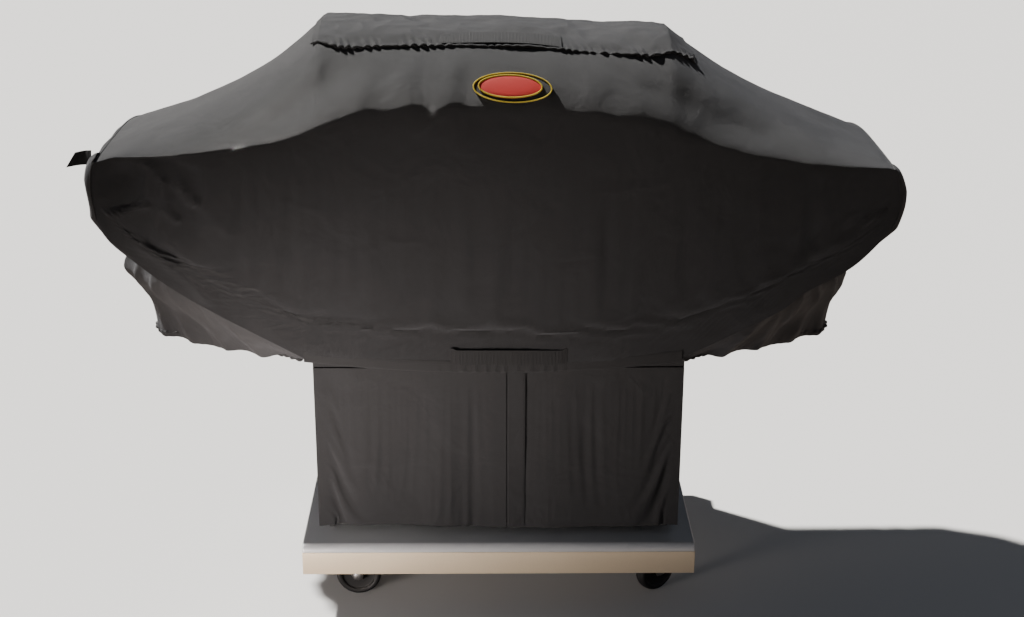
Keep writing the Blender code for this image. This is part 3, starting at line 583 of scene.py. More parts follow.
def frontRelief(x, z):
    # how far the cloth stands out of the plain shape, at x along and z up the front
    out = 0.0
    for middle, half, degrees, depth in hollows:
        turn = math.radians(degrees)
        dx, dz = x - middle[0], z - middle[1]
        a = (dx * math.cos(turn) + dz * math.sin(turn)) / half[0]
        b = (-dx * math.sin(turn) + dz * math.cos(turn)) / half[1]
        if a * a + b * b < 9:
            out -= depth * math.exp(-(a * a + b * b))
    for start, end, width, rise in creases:
        out += rise * segmentFade(x, z, start, end, width)
    drape = smooth((z - 0.98) / 0.10)
    drift = x + 0.10 * (1.1 - z) + 0.02 * noise.noise(Vector((x * 9.0, z * 4.0, 6.0)))
    out += 0.0022 * drape * math.sin(2 * math.pi * drift / 0.082 + 0.7)
    slow = noise.noise(Vector((x * 5.0, z * 6.0, 0.3))) * 0.007
    quick = noise.noise(Vector((x * 19.0 + z * 8, z * 13.0, 2.3))) * 0.0022
    quick += (0.5 - abs(noise.noise(Vector((x * 11.0 - z * 9, z * 9.0 + x * 4, 5.1))))) * 0.0030
    atWing = smooth((abs(x) - 0.35) / 0.25)
    return out + slow + quick * (0.5 + 1.2 * atWing)


def wrinkle(x, y, z, size, height):
    return noise.noise(Vector((x / size, y / size, z / size))) * height


# ---- cloth simulation ----

clothSettings = {
    "quality": 5, "mass": 0.25, "tension_stiffness": 18, "compression_stiffness": 12,
    "shear_stiffness": 6, "bending_stiffness": 0.6, "air_damping": 1.5,
    "vertex_group_mass": "sewn", "pin_stiffness": 0.6,
}


def settleCloth(jobs, frames):
    # a job is a piece, how firmly each point is held, the extra length of its cut and its longest step
    scene = bpy.context.scene
    rest = {}
    for piece, held, slack, reach in jobs:
        rest[piece.name] = [v.co.copy() for v in piece.data.vertices]
        group = piece.vertex_groups.new(name="sewn")
        for vertex in piece.data.vertices:
            group.add([vertex.index], held(vertex.co), "REPLACE")
        cloth = addModifier(piece, "CLOTH")
        for key, value in clothSettings.items():
            setattr(cloth.settings, key, value)
        cloth.settings.shrink_min = -slack
        cloth.point_cache.frame_start = 1
        cloth.point_cache.frame_end = frames
    for step in range(1, frames + 1):
        scene.frame_set(step)
    graph = bpy.context.evaluated_depsgraph_get()
    for piece, held, slack, reach in jobs:
        moved = [v.co.copy() for v in piece.evaluated_get(graph).data.vertices]
        piece.modifiers.clear()
        for vertex, was, now in zip(piece.data.vertices, rest[piece.name], moved):
            step = now - was
            if step.length > reach:
                step = step.normalized() * reach
            vertex.co = was + step
        piece.vertex_groups.clear()
    scene.frame_set(1)


# ---- main cover cloth: front, shoulders and rear in one piece ----

coverPiece = {
    "across": 150, "along": 150, "frontRows": 0.40, "topRows": 0.76,
    "thickness": 0.0022, "overlap": 0.014, "sewnHem": 0.11, "sewnEnd": 0.08, "looseBelow": 0.86,
}


def frontPoint(u, v):
    x = u * endHalf(v)
    low = frontHemAt(u * cs["halfWidth"])
    z = low + (ridgeAt(u * cs["wingTopHalf"]) - low) * v
    fade = smooth((1 - abs(u)) / 0.05) * smooth(v / 0.06)
    return Vector((x, cs["front"] - frontRelief(x, z) * fade, z))


def topPoint(u, y):
    x = u * cs["wingTopHalf"]
    z = topAt(x, y)
    lift = wrinkle(x, y, z, 0.11, 0.004) + wrinkle(x, y, z, 0.035, 0.0012)
    atFront = smooth((cs["front"] + 0.10 - y) / 0.10)
    relief = frontRelief(x, z) * atFront * smooth((1 - abs(u)) / 0.05)
    edge = smooth((1 - abs(u)) / 0.04) * smooth((y - cs["front"]) / 0.05)
    return Vector((x, y - relief * 0.8, z + lift * edge + relief * 0.25))


def rearHalf(v):
    half = cs["halfWidth"] - (cs["halfWidth"] - cs["wingTopHalf"]) * wingRoll(1 - v)
    return half * (1 - (1 - cs["rearHemHalf"] / cs["halfWidth"]) * max((v - 0.35) / 0.65, 0))


def rearPoint(u, v):
    x = u * cs["wingTopHalf"]
    high = topAt(x, cs["rear"])
    half = rearHalf(v)
    z = high + (cs["rearHemHeight"] - high) * v
    out = wrinkle(u * half, 3.0, z, 0.16, 0.009) + wrinkle(u * half, 5.0, z, 0.05, 0.002)
    fade = smooth((1 - abs(u)) / 0.06) * smooth((1 - v) / 0.08)
    return Vector((u * half, cs["rear"] + out * fade, z))


def coverPoint(u, t):
    across = 2 * u - 1
    if t < coverPiece["frontRows"]:
        return frontPoint(across, t / coverPiece["frontRows"])
    if t < coverPiece["topRows"]:
        rows = coverPiece["topRows"] - coverPiece["frontRows"]
        share = (t - coverPiece["frontRows"]) / rows
        return topPoint(across, mix(cs["front"], cs["rear"], share**1.35))
    return rearPoint(across, (t - coverPiece["topRows"]) / (1 - coverPiece["topRows"]))


def inHood(point, margin):
    return (cs["hoodFrontY"] + margin < point.y < cs["hoodRearY"] - margin
            and abs(point.x) < hoodHalfAt(point.y) - margin)


def coverHeld(point):
    hem = abs(point.z - frontHemAt(point.x)) / coverPiece["sewnHem"]
    end = (cs["halfWidth"] - abs(point.x)) / coverPiece["sewnEnd"]
    loose = mix(1.0, 0.16, smooth(min(hem, end)))
    return mix(loose, 1.0, smooth((point.z - coverPiece["looseBelow"]) / 0.06))


coverBody = clothGrid("coverBody", coverPiece["across"], coverPiece["along"],
                      (1.56, 1.90), coverPoint)
# no cover cloth lies under the hood, apart from the overlap along its edges
work = bmesh.new()
work.from_mesh(coverBody.data)
hidden = [f for f in work.faces
          if all(inHood(v.co, coverPiece["overlap"]) and v.co.z > 0.9 for v in f.verts)]
bmesh.ops.delete(work, geom=hidden, context="FACES")
work.to_mesh(coverBody.data)
work.free()
print("cover cloth laid")

# ---- top piece over the lid, gathered on elastic along its front ----

hoodPiece = {
    "across": 260, "along": 90, "thickness": 0.0016, "lift": 0.0026, "spread": 0.010,
    "gatherDepth": 0.030, "gatherHeight": 0.0034, "gatherLength": 0.0170,
    "frontOverhang": 0.004, "rearOverlap": 0.012, "shift": 0.026,
}


def gather(x):
    # pleats of uneven width along the elastic, from -1 in the folds to 1 on the crests
    drift = noise.noise(Vector((x * 14.0, 0.5, 0.0))) * 1.7
    drift += noise.noise(Vector((x * 45.0, 1.5, 0.0))) * 0.7
    wave = math.sin(2 * math.pi * x / hoodPiece["gatherLength"] + 3.2 * drift)
    underStrap = 1 - 0.7 * math.exp(-(((x - 0.005) / 0.105) ** 6))
    return wave * (0.55 + 0.75 * noise.noise(Vector((x * 24.0, 7.0, 0.0)))) * underStrap


def hoodPoint(u, v):
    rear = cs["hoodRearY"] + hoodPiece["rearOverlap"]
    half = mix(cs["hoodFrontHalf"], cs["hoodRearHalf"], v) + hoodPiece["spread"]
    x = (2 * u - 1) * half + hoodPiece["shift"] * (1 - v) * (1 - u)
    front = hoodFrontAt(x) - hoodPiece["frontOverhang"]
    y = mix(front, rear, v**1.25)
    z = topAt(x, y)
    near = clamp(1 - (y - front) / hoodPiece["gatherDepth"])
    bunch = gather(x + 0.35 * (y - front)) * near**1.6
    lift = hoodPiece["lift"] + max(bunch, -0.45) * hoodPiece["gatherHeight"]
    lift += wrinkle(x, y, z, 0.10, 0.0060) * (1 - near) + wrinkle(x, y, z, 0.030, 0.0018)
    lift += (0.5 - abs(wrinkle(x + y, y - x, z, 0.06, 1.0))) * 0.0045 * smooth((y - front) / 0.03)
    edge = 1 - smooth((y - front) / 0.008)
    return Vector((x, y - 0.45 * lift - 0.0010 * bunch * edge, z + lift))


hoodCloth = clothGrid("hoodCloth", hoodPiece["across"], hoodPiece["along"], (0.72, 0.46), hoodPoint)
print("hood laid")

# ---- side gussets, closing the wings from the front seam round to the rear one ----

# down the gusset, rollTo is where the wing's top edge has rolled over and foldFrom where the cloth
# turns in under the wing
gussetPiece = {
    "across": 90, "along": 84, "thickness": 0.0020, "gatherHeight": 0.0032, "gatherLength": 0.017,
    "hemDip": 0.022, "rollShare": 0.055, "depth": 0.62, "hemInset": 0.010,
    "rollTo": 0.16, "foldFrom": 0.30, "rollDrop": 0.045, "lipGap": 0.055,
}


def foldShare(w):
    return (w - gussetPiece["foldFrom"]) / (1 - gussetPiece["foldFrom"])


def pleatWave(share, length):
    drift = 2.5 * noise.noise(Vector((share * 9, 0.0, 4.0)))
    return math.sin(2 * math.pi * share * gussetPiece["depth"] / length + drift)


def sideHemPoint(share):
    corner = (cs["hemCorner"][0] + gussetPiece["hemInset"]) * endHalf(0) / cs["halfWidth"]
    start = Vector((corner, cs["front"] + cs["cloth"]))
    middle = Vector(cs["sideHemMiddle"])
    end = Vector((cs["rearHemHalf"] - 0.004, cs["rear"]))
    bend = 2 * middle - (start + end) / 2
    round_ = start * (1 - share) ** 2 + 2 * bend * share * (1 - share) + end * share**2
    sharp = start.lerp(middle, 2 * share) if share < 0.5 else middle.lerp(end, 2 * share - 1)
    flat = sharp.lerp(round_, cs["sideHemRoundness"])
    low = cs["hemCorner"][1] * (1 - share) + cs["sideHemHeight"] * share
    return Vector((flat.x, flat.y, low - gussetPiece["hemDip"] * math.sin(math.pi * share)))


def frontEdge(w):
    # down the front seam from the wing's top to its lower corner, then in along the fold
    if w < gussetPiece["foldFrom"]:
        v = 1 - w / gussetPiece["foldFrom"]
        low = frontHemAt(cs["halfWidth"])
        return Vector((endHalf(v), cs["front"], low + (ridgeAt(cs["wingTopHalf"]) - low) * v))
    x = mix(cs["halfWidth"], cs["hemCorner"][0] + gussetPiece["hemInset"], foldShare(w) ** 0.92)
    y = cs["front"] + cs["cloth"] * smooth((w - gussetPiece["foldFrom"]) / 0.05)
    return Vector((x * endHalf(0) / cs["halfWidth"], y, frontHemAt(x)))


def rearEdge(w):
    high = topAt(cs["wingTopHalf"], cs["rear"])
    return Vector((rearHalf(w), cs["rear"], high + (cs["rearHemHeight"] - high) * w))


def middleEdge(share, w):
    y = mix(cs["front"], cs["rear"], share)
    top = topAt(cs["wingTopHalf"], y)
    lip = mix(cs["frontCornerHeight"], cs["rearCornerHeight"], share)
    reach = cs["halfWidth"] - cs["wingTopHalf"]
    rollTo, foldFrom, drop = (gussetPiece[key] for key in ("rollTo", "foldFrom", "rollDrop"))
    if w < rollTo:
        turn = w / rollTo * math.pi / 2
        x = cs["wingTopHalf"] + reach * math.sin(turn)
        return Vector((x, y, top - drop * (1 - math.cos(turn))))
    foot = Vector((cs["halfWidth"] - cs["lowerRound"], y, min(lip, top - gussetPiece["lipGap"])))
    if w < foldFrom:
        return Vector((cs["halfWidth"], y, top - drop)).lerp(foot, (w - rollTo) / (foldFrom - rollTo))
    return foot.lerp(sideHemPoint(share), foldShare(w))


def gussetPoint(share, w):
    plain = middleEdge(share, w)
    rollIn = math.sqrt(1 - (1 - clamp(share / gussetPiece["rollShare"])) ** 2)
    atRear = smooth((share - 0.90) / 0.10)
    point = frontEdge(w).lerp(plain, rollIn).lerp(rearEdge(w), atRear)
    loose = smooth(share / 0.08) * smooth((1 - share) / 0.08)
    nearHem = smooth((w - 0.90) / 0.10)
    pleat = pleatWave(share, gussetPiece["gatherLength"])
    hanging = smooth((w - gussetPiece["foldFrom"]) / 0.12)
    ridge = math.sin(2 * math.pi * (share * 4.4 + (1 - w) * 0.9)
                     + noise.noise(Vector((share * 4, w * 3, 1.0))))
    folds = noise.noise(Vector((share * 3.1, w * 5.0, 8.0))) * 0.010 * smooth(w / 0.12)
    folds += noise.noise(Vector((share * 9.0, w * 9.0, 3.0))) * 0.005
    folds += (1 - abs(ridge) * 1.6) * 0.006 * hanging
    out = loose * (folds + pleat * nearHem * gussetPiece["gatherHeight"])
    # the lower part faces down and out, the upper part out
    facing = Vector((0.80, 0, -0.60)) if w > gussetPiece["foldFrom"] else Vector((1, 0, 0.2))
    point += facing * out
    point.z += loose * nearHem * 0.003 * pleat
    return point


def mirrored(point, side):
    return Vector((side * point.x, point.y, point.z))


gussets = {}
for label, side in (("Left", -1), ("Right", 1)):
    def place(u, v, side=side):
        return mirrored(gussetPoint(u if side < 0 else 1 - u, v), side)
    gussets[label] = clothGrid("gusset" + label, gussetPiece["across"], gussetPiece["along"],
                               (0.58, 0.62), place)
print("gussets laid")

# ---- skirt: two opening flaps in front, sides and rear fixed ----

# sp is the skirt's shape, as cs is the cover's
sp = {
    "half": 0.350, "front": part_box("skirt_flap_left")[0].y, "rear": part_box("skirt_rear")[1].y,
    "bottom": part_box("skirt_flap_left")[0].z, "top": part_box("skirt_flap_left")[1].z,
    "split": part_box("skirt_flap_left")[1].x + 0.0015, "headTop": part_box("skirt_header")[1].z,
    "thickness": 0.0020, "wave": 0.0045, "edgeGap": 0.0012,
}


def skirtWave(along, z, seed):
    low = smooth((sp["top"] - z) / (sp["top"] - sp["bottom"]))
    wave = math.sin(2 * math.pi * along / 0.145 + seed) * sp["wave"] * (0.25 + 0.75 * low)
    wave += noise.noise(Vector((along * 7.0, z * 5.0, seed))) * 0.006
    return wave + noise.noise(Vector((along * 22.0, z * 16.0, seed + 5))) * 0.0016


def flapPoint(x0, x1, seed, u, v):
    x = mix(x0, x1, u)
    z = mix(sp["bottom"], sp["top"], v)
    fade = smooth(min(abs(x - x0), abs(x - x1)) / 0.05) * smooth((1 - v) / 0.10)
    out = skirtWave(x, z, seed) * (0.25 + 0.75 * fade)
    arch = 0.008 * math.sin(math.pi * u) * smooth(1 - v / 0.25)
    return Vector((x, sp["front"] - max(out, -0.006) - 0.001, z + arch * (1 if seed < 1 else 0.3)))


flapLeft = clothGrid("skirtFlapLeft", 84, 78, (0.365, 0.334),
                     lambda u, v: flapPoint(-sp["half"], sp["split"] - sp["edgeGap"], 0.4, u, v))
flapRight = clothGrid("skirtFlapRight", 78, 78, (0.335, 0.334),
                      lambda u, v: flapPoint(sp["split"] + sp["edgeGap"], sp["half"], 3.1, u, v))


def skirtSidePoint(side, u, v):
    y = mix(sp["front"] + 0.002, sp["rear"] - 0.002, u)
    z = mix(sp["bottom"], sp["headTop"], v)
    fade = smooth(min(u, 1 - u) / 0.08) * smooth((1 - v) / 0.15)
    return Vector((side * (sp["half"] + (skirtWave(y, z, 7.0 + side) * 0.9 - 0.002) * fade), y, z))


skirtSides = {
    "Left": clothGrid("skirtSideLeft", 66, 70, (0.486, 0.464),
                      lambda u, v: skirtSidePoint(-1, 1 - u, v)),
    "Right": clothGrid("skirtSideRight", 66, 70, (0.486, 0.464),
                       lambda u, v: skirtSidePoint(1, u, v)),
}


def skirtRearPoint(u, v):
    x = mix(sp["half"], -sp["half"], u)
    z = mix(sp["bottom"], sp["headTop"], v)
    fade = smooth(min(u, 1 - u) / 0.07) * smooth((1 - v) / 0.15)
    return Vector((x, sp["rear"] + skirtWave(x, z, 12.0) * fade, z))


def skirtHeaderPoint(u, v):
    z = mix(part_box("skirt_header")[0].z, sp["headTop"], v)
    return Vector((mix(-sp["half"], sp["half"], u), sp["front"] + 0.001, z))


skirtRear = clothGrid("skirtRear", 90, 60, (0.70, 0.464), skirtRearPoint)
skirtHeader = clothGrid("skirtHeader", 60, 12, (0.70, 0.128), skirtHeaderPoint)
print("skirt laid")

# ---- simulation of the loose cloth ----


def gussetHeld(point):
    inner = smooth(min(point.y - cs["front"], cs["rear"] - point.y) / 0.06)
    return mix(1.0, 0.22, inner)


def skirtHeld(point):
    return mix(1.0, 0.12, smooth((sp["top"] - point.z) / 0.05)
               * smooth((sp["half"] - abs(point.x)) / 0.04))


def rearHeld(point):
    return mix(1.0, 0.15, smooth((sp["headTop"] - point.z) / 0.08))


settleCloth([
    (coverBody, coverHeld, 0.008, 0.008),
    (gussets["Left"], gussetHeld, 0.012, 0.009),
    (gussets["Right"], gussetHeld, 0.012, 0.009),
    (flapLeft, skirtHeld, 0.012, 0.007),
    (flapRight, skirtHeld, 0.012, 0.007),
    (skirtRear, rearHeld, 0.010, 0.008),
], 22)
print("cloth settled")

for piece in (coverBody, hoodCloth, gussets["Left"], gussets["Right"]):
    for vertex in piece.data.vertices:
        vertex.co = leant(*vertex.co)

thickSheet(coverBody, coverPiece["thickness"])
thickSheet(hoodCloth, hoodPiece["thickness"])
for label in ("Left", "Right"):
    thickSheet(gussets[label], gussetPiece["thickness"], 1)
    thickSheet(skirtSides[label], sp["thickness"])
for piece in (flapLeft, flapRight, skirtRear, skirtHeader):
    thickSheet(piece, sp["thickness"])

fabric = finishes["cover_fabric"]
finishPiece(coverBody, fabric, "cart",
            ["front_panel", "shoulder_left", "shoulder_right", "rear_panel"])
for label in ("Left", "Right"):
    finishPiece(gussets[label], fabric, "cart", ["side_panel_" + label.lower()])
    finishPiece(skirtSides[label], fabric, "cart", ["skirt_side_" + label.lower()])
finishPiece(skirtRear, fabric, "cart", ["skirt_rear"])
finishPiece(skirtHeader, fabric, "cart", ["skirt_header"])
finishPiece(hoodCloth, fabric, None, ["top_hood"])
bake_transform(hoodCloth)
for piece, side, name in ((flapLeft, -1, "left"), (flapRight, 1, "right")):
    finishPiece(piece, fabric, None, ["skirt_flap_" + name])
    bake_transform(piece)
print("cloth finished")

# ---- elastic hems and seams ----

hemLook = {
    "radius": 0.0036, "puff": 0.34, "seamRadius": 0.0019, "sidePleat": 0.011,
    "hoodSteps": 419, "sideSteps": 299, "seamSteps": 59,
}

points, radii = [], []
for index in range(hemLook["hoodSteps"] + 1):
    u = index / hemLook["hoodSteps"]
    x = (2 * u - 1) * (cs["hoodFrontHalf"] + hoodPiece["spread"])
    base = hoodPoint(u, 0.004)
    points.append(leant(base.x, base.y - 0.0012, base.z - 0.0004))
    radii.append(hemLook["radius"] * (0.80 + hemLook["puff"] * gather(x)))
hoodHem = tubeAlong("hoodHem", points, radii, 12)
finishPiece(hoodHem, finishes["elastic"], "hood", ["hood_elastic"])

for label, side in (("Left", -1), ("Right", 1)):
    points, radii = [], []
    for index in range(hemLook["sideSteps"] + 1):
        share = 0.015 + 0.97 * index / hemLook["sideSteps"]
        base = gussetPoint(share, 1.0)
        points.append(leant(*mirrored(base + Vector((-0.001, 0, 0)), side)))
        puff = hemLook["puff"] * pleatWave(share, hemLook["sidePleat"])
        radii.append(hemLook["radius"] * (0.95 + puff))
    hem = tubeAlong("gussetHem" + label, points, radii, 12)
    finishPiece(hem, finishes["elastic"], "cart", ["hem_elastic_" + label.lower()])
    shares = [index / hemLook["seamSteps"] for index in range(hemLook["seamSteps"] + 1)]
    seam = [frontPoint(side, share) for share in shares]
    seam += [topPoint(side, mix(cs["front"], cs["rear"], share)) for share in shares[1:]]
    seam += [rearPoint(side, share) for share in shares[1:]]
    seam = [leant(*p) for p in seam]
    piping = tubeAlong("endSeam" + label, seam, hemLook["seamRadius"], 8)
    finishPiece(piping, finishes["elastic"], "cart")

# ---- band along the front hem, with a fold where it is gathered under the strap ----

bandPiece = {"height": 0.024, "thickness": 0.0014, "clear": 0.0012, "across": 260}


def bandPoint(u, v):
    x = mix(-cs["hemCorner"][0], cs["hemCorner"][0], u)
    gathered = math.exp(-(((x - 0.02) / 0.12) ** 4))
    pleat = math.sin(2 * math.pi * x / 0.021 + 3 * noise.noise(Vector((x * 16, 0, 0)))) * gathered
    z = frontHemAt(x) - 0.0008 + bandPiece["height"] * v
    roll = math.sqrt(max(1 - (2 * v - 1) ** 8, 0))
    relief = frontRelief(x, z) * smooth(v * 0.4)
    y = cs["front"] - bandPiece["clear"] * roll - 0.0012 * max(pleat, -0.3) * (1 - v) - relief - 0.0004
    return leant(x, y, z + 0.0016 * pleat * (1 - v))


band = clothGrid("frontHemBand", bandPiece["across"], 10, (0.72, bandPiece["height"]), bandPoint)
thickSheet(band, bandPiece["thickness"])
finishPiece(band, finishes["elastic"], "cart", ["hem_binding"])

# ---- ribbed webbing straps, each sewn at both ends and free between ----

topStrap = {"x": 0.005, "length": 0.220, "width": 0.038, "thickness": 0.0020, "clear": 0.0058, "ribs": 88}
hemStrap = {"x": 0.029, "length": 0.215, "width": 0.028, "thickness": 0.0020, "height": 0.551, "ribs": 86}
ribHeight = 0.00022


def topStrapPoint(x, v):
    y = cs["hoodFrontY"] - 0.0020 + topStrap["width"] * 0.92 * v
    z = topAt(x, y) + topStrap["clear"]
    share = (x - topStrap["x"]) / topStrap["length"]
    ends = smooth((0.5 - abs(share)) / 0.06)
    rib = ribHeight * math.sin(2 * math.pi * share * topStrap["ribs"])
    edge = 0.0006 * (1 - smooth(min(v, 1 - v) / 0.08))
    bow = 0.0030 * ends * (0.6 + 0.4 * math.cos(2 * math.pi * share))
    lift = bow + rib - edge
    return leant(x, y - 0.36 * lift - 0.0020, z + 0.93 * lift)


def hemStrapPoint(x, v):
    share = (x - hemStrap["x"]) / hemStrap["length"]
    ends = smooth((0.5 - abs(share)) / 0.06)
    rib = ribHeight * math.sin(2 * math.pi * share * hemStrap["ribs"])
    z = hemStrap["height"] + hemStrap["width"] * (v - 0.5) - 0.004 * ends
    return leant(x, cs["front"] - 0.0040 - 0.0012 * ends - rib, z)


def strapHalves(name, look, node, point):
    made = []
    for label, low, high in (("Left", -0.5, 0.0), ("Right", 0.0, 0.5)):
        x0, x1 = look["x"] + low * look["length"], look["x"] + high * look["length"]
        piece = clothGrid(name + label, look["ribs"] * 3, 14, (look["length"] / 2, look["width"]),
                          lambda u, v, x0=x0, x1=x1: point(mix(x0, x1, u), v))
        thickSheet(piece, look["thickness"])
        finishPiece(piece, finishes["webbing"], None, [node])
        middle = point((x0 + x1) / 2, 0.5)
        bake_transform(piece)
        made.append(piece)
    return made


topStraps = strapHalves("topStrap", topStrap, "top_pull_strap", topStrapPoint)
hemStraps = strapHalves("hemStrap", hemStrap, "hem_pull_strap", hemStrapPoint)

# ---- side tabs: a strip of webbing each, cut on the slant ----

tabLook = {
    "reach": 0.040, "width": 0.025, "thickness": 0.0022, "cut": 0.016, "ribs": 22, "ribHeight": 0.00004,
    "sewnLength": 0.006, "inset": 0.002, "slant": 0.006, "curl": 0.004,
    "bendInset": 0.004, "bendLength": 0.022,
}
tabPlaces = {
    "left": {"side": -1, "y": -0.225, "top": 0.914, "fall": 0.003, "droop": 4.0},
    "right": {"side": 1, "y": -0.100, "top": 0.872, "fall": 0.0, "droop": 52.0},
}
for label, tab in tabPlaces.items():
    def tabPoint(u, v, tab=tab):
        # v runs down the strip's width
        across = 1 - v if tab["side"] < 0 else v
        length = tabLook["reach"] + tabLook["sewnLength"] - tabLook["cut"] * (1 - across)
        along = u * length - tabLook["sewnLength"]
        angle = math.radians(tab["droop"] * (0.6 + 0.4 * u))
        rib = tabLook["ribHeight"] * math.sin(2 * math.pi * u * tabLook["ribs"])
        x = tab["side"] * (cs["halfWidth"] - tabLook["inset"] + along * math.cos(angle))
        y = tab["y"] - tabLook["slant"] * across + tabLook["curl"] * math.sin(3 * u) + rib
        z = tab["top"] - tabLook["width"] * across - along * math.sin(angle) - tab["fall"] * u
        return leant(x, y, z)
    strip = clothGrid("tab" + label.title(), 88, 16, (tabLook["reach"], tabLook["width"]), tabPoint)
    thickSheet(strip, tabLook["thickness"])
    finishPiece(strip, finishes["webbing"], None, ["tab_" + label])
    middle = tab["top"] - tabLook["width"] / 2
    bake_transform(strip)

# ---- sewn oval badge: outer ring, plain field, red oval with a yellow rim ----

badge = {
    "x": 0.027, "rise": 0.043, "half": (0.070, 0.029), "ring": 0.0026, "probe": 0.003,
    "faceAt": (-0.004, 0.0015), "faceHalf": (0.057, 0.0225), "rim": 0.0028, "spokes": 96,
    "fieldLift": 0.0012, "ringLift": 0.0022, "faceLift": 0.0022, "rimLift": 0.0028,
    "ringTurns": 420, "rimTurns": 380,
}


def onFront(x, rise):
    # the point that lies rise above the line where the front starts to roll back
    if rise <= 0:
        return Vector((x, cs["front"], ridgeAt(x) + rise))
    low, high = 0.0, cs["frontRollDepth"]
    for _ in range(24):
        middle = (low + high) / 2
        height = topAt(x, cs["front"] + middle)
        if math.hypot(middle, height - ridgeAt(x)) < rise:
            low = middle
        else:
            high = middle
    return Vector((x, cs["front"] + low, topAt(x, cs["front"] + low)))


def badgePoint(dx, dz, lift):
    x, rise = badge["x"] + dx, badge["rise"] + dz
    probe = badge["probe"]
    above = onFront(x, rise + probe) - onFront(x, rise - probe)
    across = onFront(x + probe, rise) - onFront(x - probe, rise)
    point = onFront(x, rise)
    point += across.cross(above).normalized() * lift
    return leant(*point)


def ovalDisc(name, middle, half, lift, dome, rings, material, nodes):
    # a circle filled as a fan of rings, laid on the front and domed a little
    deselectAll()
    bpy.ops.mesh.primitive_circle_add(vertices=badge["spokes"], radius=1, fill_type="TRIFAN")
    piece = bpy.context.object
    piece.name = name
    pick(piece)
    bpy.ops.object.mode_set(mode="EDIT")
    bpy.ops.mesh.select_all(action="SELECT")
    bpy.ops.mesh.subdivide(number_cuts=rings)
    bpy.ops.object.mode_set(mode="OBJECT")
    layer = piece.data.uv_layers.active or piece.data.uv_layers.new(name="UVMap")
    for loop in piece.data.loops:
        co = piece.data.vertices[loop.vertex_index].co
        layer.data[loop.index].uv = (co.x * half[0], co.y * half[1])
    for vertex in piece.data.vertices:
        reach = min(math.hypot(vertex.co.x, vertex.co.y), 1.0)
        rise = lift + dome * math.sqrt(max(1 - reach**6, 0))
        dx, dz = middle[0] + vertex.co.x * half[0], middle[1] + vertex.co.y * half[1]
        vertex.co = badgePoint(dx, dz, rise)
    addModifier(piece, "SOLIDIFY", thickness=0.0012, offset=-1.0)
    applyModifiers(piece)
    shadeSmooth(piece, 50)
    return finishPiece(piece, material, "cart", nodes)


def ovalRing(name, middle, half, width, lift, turns, material, nodes=()):
    # satin stitches laid side by side round an oval
    points = []
    for index in range(turns):
        angle = 2 * math.pi * index / turns
        points.append(badgePoint(middle[0] + (half[0] - width / 2) * math.cos(angle),
                                 middle[1] + (half[1] - width / 2) * math.sin(angle), lift))
    radii = [width / 2 * (1 + 0.10 * (-1) ** i) for i in range(turns)]
    piece = tubeAlong(name, points, radii, 12, True)
    return finishPiece(piece, material, "cart", nodes)


ovalDisc("badgeField", (0, 0), badge["half"], badge["fieldLift"], 0.0006, 5,
         finishes["elastic"], [])
ovalRing("badgeRing", (0, 0), badge["half"], badge["ring"], badge["ringLift"], badge["ringTurns"],
         finishes["badge_yellow"], ["badge_border"])
ovalDisc("badgeFace", badge["faceAt"], badge["faceHalf"], badge["faceLift"], 0.0010, 5,
         finishes["badge_red"], ["badge_face"])
ovalRing("badgeRim", badge["faceAt"], badge["faceHalf"], badge["rim"], badge["rimLift"], badge["rimTurns"],
         finishes["badge_yellow"])
print("straps, tabs and badge made")

# ---- sewing thread along the front hem and the placket ----

stitchLook = {"length": 0.0034, "gap": 0.0016, "radius": 0.00042}


def stitchRow(work, path, stride, side):
    # short thread lengths along a path given as a function from 0 to 1
    pitch = stitchLook["length"] + stitchLook["gap"]
    count = max(int(stride / pitch), 1)
    for index in range(count):
        a, b = path(index / count), path((index + stitchLook["length"] / pitch) / count)
        along = (b - a).normalized()
        sideways = along.cross(side).normalized() * stitchLook["radius"]
        out = side.normalized() * stitchLook["radius"]
        middle = (a + b) / 2
        ends = [work.verts.new(a), work.verts.new(b)]
        ring = [work.verts.new(middle + step) for step in (sideways, out, -sideways, -out)]
        for i in range(4):
            j = (i + 1) % 4
            work.faces.new((ends[0], ring[i], ring[j]))
            work.faces.new((ends[1], ring[j], ring[i]))


def stitchPiece(name, rows, body):
    work = bmesh.new()
    for path, stride, side in rows:
        stitchRow(work, path, stride, side)
    bmesh.ops.recalc_face_normals(work, faces=work.faces)
    finishPiece(addMesh(name, work), finishes["thread"], body)


outward = Vector((0, -1, 0))
onCloth = outward * 0.0004
stitchPiece("frontHemStitches", [
    (lambda t: bandPoint(0.01 + 0.98 * t, 0.88) + onCloth, 0.69, outward),
    (lambda t: bandPoint(0.01 + 0.98 * t, 0.70) + onCloth, 0.69, outward),
], "cart")
print("stitches made")

# ---- placket on the right flap's free edge ----

placketPiece = {"width": 0.034, "thickness": 0.0012, "clear": 0.0022}


def placketPoint(u, v):
    x = sp["split"] + sp["edgeGap"] + placketPiece["width"] * u
    z = mix(sp["bottom"] + 0.001, sp["top"] - 0.001, v)
    share = placketPiece["width"] * u / (sp["half"] - sp["split"])
    base = flapPoint(sp["split"] + sp["edgeGap"], sp["half"], 3.1, share, v)
    puff = 0.0008 * math.sqrt(max(1 - (2 * u - 1) ** 6, 0)) + wrinkle(x, 0, z, 0.02, 0.0006)
    return Vector((x, base.y - placketPiece["clear"] - puff, z))


